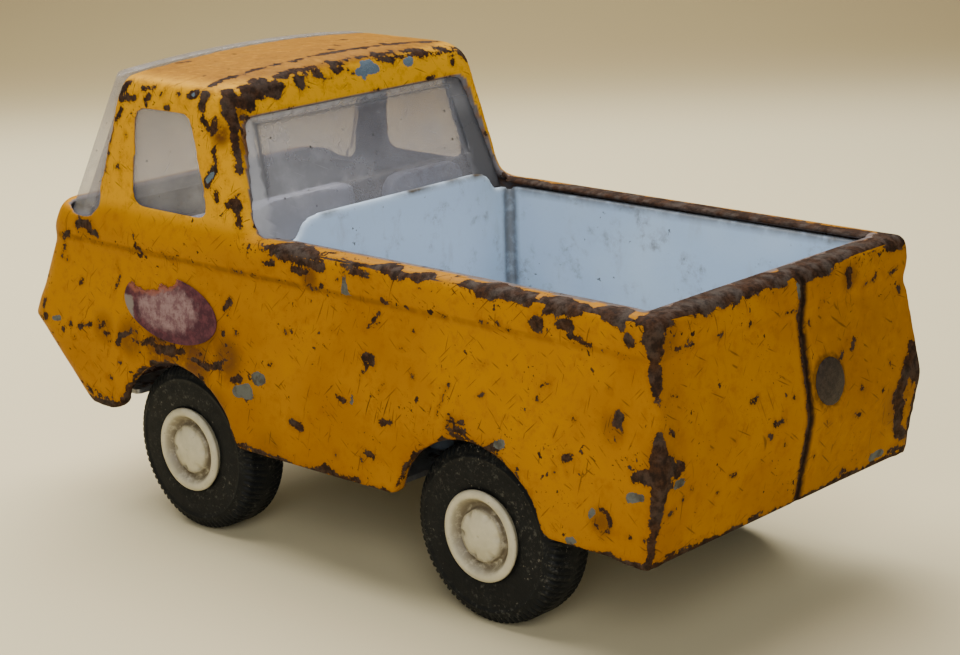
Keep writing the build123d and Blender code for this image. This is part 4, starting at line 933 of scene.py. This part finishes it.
def lathe(name, rows, segments, shaped):
    """A closed surface of revolution about +Y. rows are (radius, out) in mm, and shaped moves the points."""
    angles = np.arange(segments) * 2 * np.pi / segments
    radius, out = (np.array(column)[:, None] for column in zip(*rows))
    radius, out = np.broadcast_arrays(*shaped(radius, out, angles[None, :]))
    points = np.stack([radius * np.cos(angles), out, radius * np.sin(angles)], axis=-1)
    faces = []
    for i in range(len(rows)):
        a, b = i * segments, ((i + 1) % len(rows)) * segments
        for j in range(segments):
            k = (j + 1) % segments
            faces.append((a + j, a + k, b + k, b + j))
    data = bpy.data.meshes.new(name)
    data.from_pydata((points.reshape(-1, 3) * MM).tolist(), [], faces)
    return data


def settled(data, node, side, body, look):
    """Puts a wheel piece, turned out for the left, where its CAD node is."""
    low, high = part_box(node)
    turn = Matrix.Rotation(0 if side > 0 else math.pi, 4, "Z")
    data.transform(Matrix.Translation(((low.x + high.x) / 2, 0, WHEEL_RADIUS * MM)) @ turn)
    mesh = bmesh.new()
    mesh.from_mesh(data)
    bmesh.ops.recalc_face_normals(mesh, faces=mesh.faces)
    mesh.to_mesh(data)
    mesh.free()
    shade_smooth(data)
    standing_in(added(data.name, data), node, look, body)


def tyre_rows():
    """The tyre's section: bore, flat walls with a raised ring, rounded shoulders and tread."""
    walls = [(BORE_RADIUS, 0.5), (7.4, 0.15), (8.6, 0.05), (9.8, 0.02), (11.0, 0.12), (11.5, 0.16),
             (11.7, 0.02), (11.9, 0.05), (SHOULDER_RADIUS, 0.35)]
    rows = [(radius, TYRE_OUT - depth) for radius, depth in walls]
    steps = 8
    arc = [(SHOULDER_RADIUS + 1.88 * math.sin(a), 0.35 + 2.0 * (1 - math.cos(a)))
           for a in (math.pi / 2 * step / steps for step in range(steps + 1))]
    rows += [(radius, TYRE_OUT - depth) for radius, depth in arc[1:]]
    rows += [(TREAD_RADIUS, float(out)) for out in np.arange(TYRE_OUT - 2.9, TYRE_IN + 2.6, -0.55)]
    rows += [(radius, TYRE_IN + depth) for radius, depth in reversed(arc)]
    rows += [(radius, TYRE_IN + depth) for radius, depth in ((11.4, 0.12), (9.8, 0.05), (7.6, 0.1))]
    rows += [(BORE_RADIUS, TYRE_IN + 0.5)]
    rows += [(BORE_RADIUS, float(out)) for out in np.linspace(TYRE_IN + 1.5, TYRE_OUT - 1.5, 6)]
    return rows


def tread(radius, out, angle):
    """Cuts the tread's slanting cross grooves and two fine rings at its shoulders."""
    across = out - (TYRE_OUT + TYRE_IN) / 2
    high = ramp(radius, 12.25, 13.2)
    wave = np.cos(LUGS * angle + 1.6 * np.abs(across) + np.where(across > 0, 0.0, math.pi))
    groove = ramp(wave, 0.05, 0.75) * ramp(np.abs(across), 0.7, 1.5) * high
    rings = ramp(np.abs(np.abs(across) - 2.55), 0.22, 0.08) * high
    return radius - 0.42 * groove - 0.20 * rings, out


def rubber_look():
    """Old black rubber: grey scuffs, patches of pale dust and white specks."""
    look = Look("old_rubber")
    scuff = look.noise(2.4, 5, 0.7).ramp(0.50, 0.72)
    dust = look.noise(0.8, 4, 0.75).ramp(0.52, 0.72) * look.noise(9, 2).ramp(0.4, 0.65)
    speck = look.cells(0.9, look.warped(0.6, 0.4)).ramp(0.18, 0.08) * look.noise(5, 3).ramp(0.47, 0.62)
    colour = look.mix(scuff * 0.6, (0.0034, 0.0045, 0.0056), (0.0105, 0.0125, 0.0135))
    colour = look.mix(dust * 0.85, colour, (0.082, 0.080, 0.068))
    colour = look.mix(speck * 0.8, colour, (0.22, 0.20, 0.16))
    normal = look.relief((look.noise(0.35, 4, 0.7), 0.06), (look.noise(2.2, 3, 0.6), 0.08))
    return look.finish(colour, roughness=look.noise(1.6, 4, 0.6) * 0.3 + 0.50, normal=normal, specular=0.22)


def hub_rows():
    """The hub's section outside and inside, from the middle of its cap round to the middle of its back."""
    cap = [(0.02, CAP_OUT)] + [(r, CAP_OUT) for r in np.arange(0.4, 3.81, 0.28)]
    recess = [(3.95, 29.0), (4.1, 28.4), (4.25, 28.05), (4.5, 27.95), (4.8, 28.1), (5.15, 28.6), (5.5, 29.05)]
    bead = [(5.66, 29.3), (5.8, 29.47), (6.0, 29.57), (6.35, 29.6), (6.62, 29.55), (6.84, 29.42),
            (6.98, 29.2), (7.02, 28.95), (6.9, 28.82), (6.6, 28.7)]
    back = [(6.58, 26.0), (6.58, 20.4), (6.6, 19.5), (7.15, 19.45), (7.15, 19.05), (3.0, 19.0), (2.9, 18.65),
            (0.02, 18.6)]
    return cap + recess + bead + back


def cap_form(radius, out, angle):
    """Domes the cap and presses six shallow hollows round it, which leaves soft ridges between them."""
    hollow = ramp(np.cos(6 * angle + 0.7), 0.45, 1.0)
    drop = 0.06 + 0.80 * (radius / CAP_RADIUS) ** 2.2 + 0.42 * hollow * ramp(radius, 2.4, CAP_RADIUS)
    edge = 0.16 * hollow * ramp(radius, 3.4, CAP_RADIUS) * ramp(radius, 4.3, 4.0)
    on_cap = (out > CAP_OUT - 0.05) & (radius < CAP_RADIUS)
    return radius - edge * (radius < 4.2), out - drop * on_cap


def hub_look():
    """Aged cream plastic, with brown dirt in the recess round the cap."""
    look = Look("aged_cream_plastic")
    dirt = look.field("grime") * look.noise(1.2, 4, 0.65).ramp(0.15, 0.55)
    colour = look.mix(look.noise(3.5, 3).ramp(0.35, 0.7), (0.64, 0.59, 0.42), (0.52, 0.48, 0.33))
    colour = look.mix(dirt, colour, (0.15, 0.12, 0.075))
    colour = look.mix(look.cells(1.3).ramp(0.13, 0.06) * 0.45, colour, (0.14, 0.11, 0.07))
    return look.finish(colour, roughness=look.noise(1.5, 4, 0.6) * 0.25 + 0.32,
                       normal=look.relief((look.noise(0.9, 3, 0.6), 0.05)), specular=0.35, subsurface=0.08,
                       subsurface_radius=(1.0, 0.8, 0.5), subsurface_scale=0.6 * MM)


def grime_of_hub(data):
    """Stores where dirt has gathered: deep in the recess, in the cap's hollows and behind the bead."""
    p = points_of(data)
    radius, out = np.hypot(p[:, 0], p[:, 2]), p[:, 1]
    recess = ramp(radius, 3.3, 4.3) * ramp(radius, 6.1, 5.2)
    deep = ramp(29.4 - out, 0.1, 1.3) * (radius < 5.0)
    behind = 0.5 * (radius > 6.9) * ramp(out, 29.3, 28.8)
    store(data, "grime", np.clip(0.75 * recess + 0.5 * deep + 0.12, 0, 1) + behind)


def wheels():
    """Four tyres with cut treads and four hubs with soft-cornered caps."""
    rubber, plastic = rubber_look(), hub_look()
    for end, (side, sign) in product(("front", "rear"), (("left", 1), ("right", -1))):
        body = f"{end}_wheelset"
        data = lathe(f"tyre_{end}_{side}_rubber", tyre_rows(), LUGS * 6, tread)
        settled(data, f"tyre_{end}_{side}", sign, body, rubber)
        data = lathe(f"hub_{end}_{side}_moulding", hub_rows(), 96, cap_form)
        grime_of_hub(data)
        settled(data, f"hub_{end}_{side}", sign, body, plastic)


# ---------------------------------------------------------------- plastic mouldings and rivet

def rounded(node, name, voxel, passes, share):
    """A CAD node's shape with its hard edges rounded off."""
    obj = evened(node, name, voxel)
    set_points(obj.data, smoothed(obj.data, points_of(obj.data), np.ones(len(obj.data.vertices)), passes))
    shade_smooth(thinned(obj, np.zeros(len(obj.data.vertices), bool), share))
    return obj


def softened(node, name, voxel, passes, share, look):
    obj = rounded(node, name, voxel, passes, share)
    standing_in(obj, node, look)
    return obj


def liner_look():
    """Bluish white plastic with brown dirt in its corners, grey smudges, streaks and specks, and a paler
    bulkhead that is painted light.
    """
    look = Look("dirty_white_plastic")
    smudge = look.noise(6, 4, 0.6).ramp(0.48, 0.68) * look.noise(2.0, 5, 0.75).ramp(0.42, 0.66)
    streak = look.noise(3.2, 4, 0.6, look.moved((0, 0, 0), (1, 1, 0.35))).ramp(0.55, 0.78)
    speck = look.cells(1.8, look.warped(1.2, 0.7)).ramp(0.17, 0.08) * look.noise(7, 4, 0.6).ramp(0.53, 0.64)
    grime = look.field("grime") * look.noise(2.2, 4, 0.6).ramp(0.05, 0.60)
    colour = look.mix(look.noise(16, 2).ramp(0.3, 0.7), (0.44, 0.57, 0.73), (0.51, 0.63, 0.76))
    # Painted light: the bulkhead is coloured paler where the pale field is set
    colour = look.mix(look.field("pale"), colour, (0.58, 0.72, 0.90))
    colour = look.mix(smudge * 0.8, colour, (0.20, 0.19, 0.17))
    colour = look.mix(streak * 0.32, colour, (0.33, 0.33, 0.31))
    colour = look.mix(speck * 0.85, colour, (0.07, 0.06, 0.05))
    colour = look.mix(grime.held(), colour, (0.085, 0.065, 0.042))
    return look.finish(colour, roughness=look.noise(3, 4, 0.6) * 0.25 + 0.34,
                       normal=look.relief((look.noise(1.4, 3, 0.6), 0.05)), specular=0.35)


def liner_piece():
    """The bed liner, with dirt along its bulkhead's top edge, on its ledge and in its corners, and painted
    light that makes its bulkhead paler.
    """
    obj = softened("bed_liner", "bed_liner_moulding", 0.5, 3, 0.45, liner_look())
    p = points_of(obj.data)
    x, y, z = p.T
    top = ramp(z, z.max() - 1.1, z.max() - 0.3) * (x > 5) * np.clip(0.75 + 1.2 * ripple(p, 3.2, 31), 0, 1)
    front = 0.75 * ramp(np.hypot(x - 8.2, np.abs(y) - 25.6), 2.0, 0.7) * ramp(z, 30, 36)
    rear = 0.6 * ramp(np.hypot(x + 62.9, np.abs(y) - 25.6), 2.5, 0.8)
    ledge = 0.7 * ramp(z, 49.6, 50.9) * (x < 7)
    floor = 0.4 * ramp(z, 32.5, 30.9)
    store(obj.data, "grime", np.maximum.reduce([top, front, rear, ledge, floor, 0.5 * (z < 29.5)]))
    # Painted light over the bulkhead's face, fading out towards the right wall
    store(obj.data, "pale", ramp(x, 6.5, 8.0) * ramp(y, -24.5, -12))


def clear_look():
    """Smoky clear plastic, hazed with age: it dims what is behind it, and is spotted and finely scratched.
    Part of its haze is painted light, and near-black painted shade covers its grooves and right strip.
    """
    look = Look("smoky_clear_plastic")
    cloud = look.noise(5, 4, 0.6).ramp(0.42, 0.72) * 0.10
    speck = look.cells(2.3).ramp(0.12, 0.07) * look.noise(6, 3).ramp(0.50, 0.62)
    lines = look.scratches(3.2, 0.12, 0.50, (0.4, 0.9), (0.1, 0.2, 0.3))
    # The haze field holds real haze and painted light: the pane is hazier where light falls on it
    haze_and_painted_light = (cloud + look.field("haze_and_painted_light") + lines * 0.08).held()
    shade = look.mix(speck, (0.60, 0.60, 0.63), (0.05, 0.045, 0.04))
    # The dark field is painted shade: near black in the grooves and on the right strip
    shade = look.mix(look.field("dark"), shade, (0.030, 0.030, 0.034))
    cover = look.highest(haze_and_painted_light, speck * 0.9, look.field("dark"))
    dull = look.node("ShaderNodeBsdfPrincipled", shade, Roughness=(haze_and_painted_light * 0.5 + 0.2).held(),
                     Normal=look.relief((look.noise(2.5, 3, 0.6), 0.04)))
    dull.inputs["Specular IOR Level"].default_value = 0.5
    tint = look.mix(look.noise(14, 2).ramp(0.3, 0.7), (0.83, 0.81, 0.82), (0.77, 0.755, 0.77))
    clear = look.value(0, "ShaderNodeBsdfTransparent", tint)
    both = look.value(0, "ShaderNodeMixShader", (cover + 0.03).held(), clear, Value(look, dull.outputs[0]))
    look.node("ShaderNodeOutputMaterial", both)
    return look.material


def window_piece():
    """The one-piece glazing: hazier at its edges and low down, hazier on the left as painted light, and
    painted shade in its grooves and on its right strip.
    """
    obj = divided("window_moulding", "window_glazing", 1.6)
    standing_in(obj, "window_moulding", clear_look())
    x, y, z = points_of(obj.data).T
    rear_pane = x - cab_rear_at(z) < 1.9
    groove_z = 68.1
    side = line((22.6, 56.7), (21.4, 68.2), z)
    # Painted shadows along the left and top grooves of the recessed pane
    left_groove_shadow = ramp(np.abs(y - side - 0.3), 1.1, 0.4) * ramp(z, 56.5, 60.0)
    left_groove_shadow = left_groove_shadow * (z < groove_z + 0.5) * (y > 0)
    top_groove_shadow = 0.6 * ramp(np.abs(z - groove_z), 0.8, 0.3) * (np.abs(y) < side + 0.6)
    border = ((y > side + 0.9) | ((z > groove_z + 0.5) & (y > -side))) & (z < 70)
    # Painted shade on the right strip, where the pillar's inner face is in shadow
    shaded = 1.1 * ramp(-y, side - 1.5, side + 0.5) * ramp(z, 70, 62)
    dark = 0.75 * np.maximum.reduce([left_groove_shadow, top_groove_shadow, shaded])
    # Painted light: the pane is hazier on the left, where light falls on it
    haze_and_painted_light = 0.07 + 0.26 * border + 0.12 * ramp(z, 65, 58) + 0.13 * ramp(y, -6, 16)
    store(obj.data, "dark", np.where(rear_pane, dark, 0.0))
    store(obj.data, "haze_and_painted_light", np.where(rear_pane, haze_and_painted_light, 0.15))


def rivet_piece():
    """The tail rivet: a flattened, hammered dome covered in fine grey-brown rust."""
    look = Look("rusted_rivet")
    pits = look.noise(0.55, 5, 0.75)
    colour = look.mix(look.noise(0.9, 5, 0.7).ramp(0.4, 0.62), (0.019, 0.012, 0.009), (0.046, 0.030, 0.021))
    colour = look.mix(pits.ramp(0.62, 0.72), colour, (0.16, 0.13, 0.11))
    normal = look.relief((pits, 0.22), (look.noise(1.6, 3, 0.6), 0.25))
    look.finish(colour, roughness=0.62, metallic=0.15, normal=normal, specular=0.4)
    obj = evened("tail_rivet", "tail_rivet_head", 0.14)
    p = smoothed(obj.data, points_of(obj.data), np.ones(len(obj.data.vertices)), 6)
    p += 0.05 * (1 - ripple(p, 1.1, 41))[:, None] * np.array([0.8, 0, 0.1])
    set_points(obj.data, p)
    shade_smooth(thinned(obj, np.zeros(len(p), bool), 0.5))
    standing_in(obj, "tail_rivet", look.material)


# ---------------------------------------------------------------- decals, seats and small parts

def decal_look():
    """What is left of a red and mauve label: a dark rim, a scuffed pale middle and torn bare places."""
    look = Look("worn_label")
    noise, mix = look.noise, look.mix
    rim = look.field("rim") + (noise(2.2, 5, 0.7) - 0.5) * 0.7
    torn = look.field("torn") + (noise(1.3, 5, 0.7) - 0.5) * 2.0
    pale = mix(noise(1.5, 5, 0.75).ramp(0.36, 0.62), (0.135, 0.062, 0.075), (0.27, 0.175, 0.18))
    pale = mix(noise(0.7, 4, 0.7).ramp(0.55, 0.7) * 0.7, pale, (0.12, 0.045, 0.055))
    dark = mix(noise(1.2, 4, 0.7).ramp(0.4, 0.68), (0.052, 0.014, 0.026), (0.12, 0.036, 0.048))
    colour = mix(rim.ramp(0.52, 0.80), pale, dark)
    colour = mix((look.field("grey") + noise(1.6, 4, 0.6)).ramp(0.95, 1.25), colour, (0.20, 0.17, 0.155))
    colour = mix(torn.ramp(-0.6, 0.1), colour, (0.26, 0.085, 0.055))
    return look.finish(colour, roughness=noise(1.2, 4, 0.6) * 0.3 + 0.38, specular=0.15,
                       normal=look.relief((noise(0.8, 4, 0.7), 0.05)), alpha=torn.ramp(0.35, -0.05))


def decals():
    """The two door labels; the left one is torn at its upper front and worn grey at its front end."""
    material = decal_look()
    for side in ("left", "right"):
        obj = divided(f"door_decal_{side}", f"door_label_{side}", 0.8)
        standing_in(obj, f"door_decal_{side}", material)
        p = points_of(obj.data)
        u, v = p[:, 0] - DECAL_MIDDLE[0], p[:, 2] - DECAL_MIDDLE[2]
        turn = math.radians(4)
        u, v = u * math.cos(turn) - v * math.sin(turn), u * math.sin(turn) + v * math.cos(turn)
        if side == "left":
            tear = np.minimum(np.hypot((u - 5.6) / 3.2, (v - 4.3) / 1.25),
                              np.hypot((u - 0.6) / 1.9, (v - 5.2) / 1.2)) - 1.5
        else:
            tear = np.hypot((u + 6.0) / 3.0, (v + 3.0) / 1.2) - 1.3
        store(obj.data, "rim", np.hypot(u / DECAL_HALF[0], v / DECAL_HALF[2]) + 0.10 * (u < -4))
        store(obj.data, "torn", -np.clip(tear, -1.5, 3.0))
        store(obj.data, "grey", 0.9 * ramp(u, 7.4, 10.0) * ramp(v, 3.0, 0.5))


def plastic_look(name, light, shade, dirt):
    """Old moulded plastic: uneven colour, specks and dirt worked into its surface."""
    look = Look(name)
    colour = look.mix(look.noise(7, 3).ramp(0.35, 0.7), light, shade)
    colour = look.mix(look.noise(2.6, 5, 0.7).ramp(0.48, 0.74) * 0.65, colour, dirt)
    speck = look.cells(1.7).ramp(0.14, 0.07) * look.noise(6, 2).ramp(0.45, 0.62)
    colour = look.mix(speck * 0.7, colour, dirt)
    return look.finish(colour, roughness=look.noise(2.2, 4, 0.6) * 0.25 + 0.4,
                       normal=look.relief((look.noise(1.0, 4, 0.6), 0.05)), specular=0.3)


def steel_look():
    """Bare steel gone dull, with rust spreading over it in patches."""
    look = Look("dull_base_steel")
    patches = look.noise(5, 6, 0.68).ramp(0.46, 0.60)
    steel = look.mix(look.noise(2.2, 4, 0.6).ramp(0.35, 0.7), (0.30, 0.30, 0.30), (0.20, 0.20, 0.20))
    rust = look.mix(look.noise(1.0, 4, 0.7).ramp(0.4, 0.65), RUST_DARK, (0.12, 0.055, 0.025))
    normal = look.relief((look.noise(0.7, 4, 0.7), 0.07), (patches, 0.04))
    return look.finish(look.mix(patches, steel, rust), roughness=(patches * 0.4 + 0.38).held(),
                       metallic=(1.0 - patches) * 0.8, normal=normal, specular=0.3)


def small_parts():
    """Seats and grille with softened edges, and looks for the parts whose CAD shape stays."""
    seats = plastic_look("dusty_seat_plastic", (0.66, 0.75, 0.90), (0.56, 0.64, 0.78), (0.12, 0.10, 0.08))
    softened("seat_moulding", "seat_bench", 0.5, 3, 0.4, seats)
    cream = plastic_look("aged_grille_plastic", (0.60, 0.54, 0.38), (0.48, 0.42, 0.29), (0.10, 0.075, 0.045))
    softened("front_grille", "grille_moulding", 0.35, 2, 0.5, cream)
    white = plastic_look("dirty_cap_plastic", (0.43, 0.56, 0.72), (0.36, 0.45, 0.56), (0.10, 0.08, 0.06))
    steel = steel_look()
    looks = {"base_plate": steel, "axle_front": steel, "axle_rear": steel, "liner_caps": white}
    for node, look in looks.items():
        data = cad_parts[node].data
        data.materials.clear()
        data.materials.append(look)


camera()
stage()
lights()
body_piece()
wheels()
liner_piece()
window_piece()
rivet_piece()
decals()
small_parts()
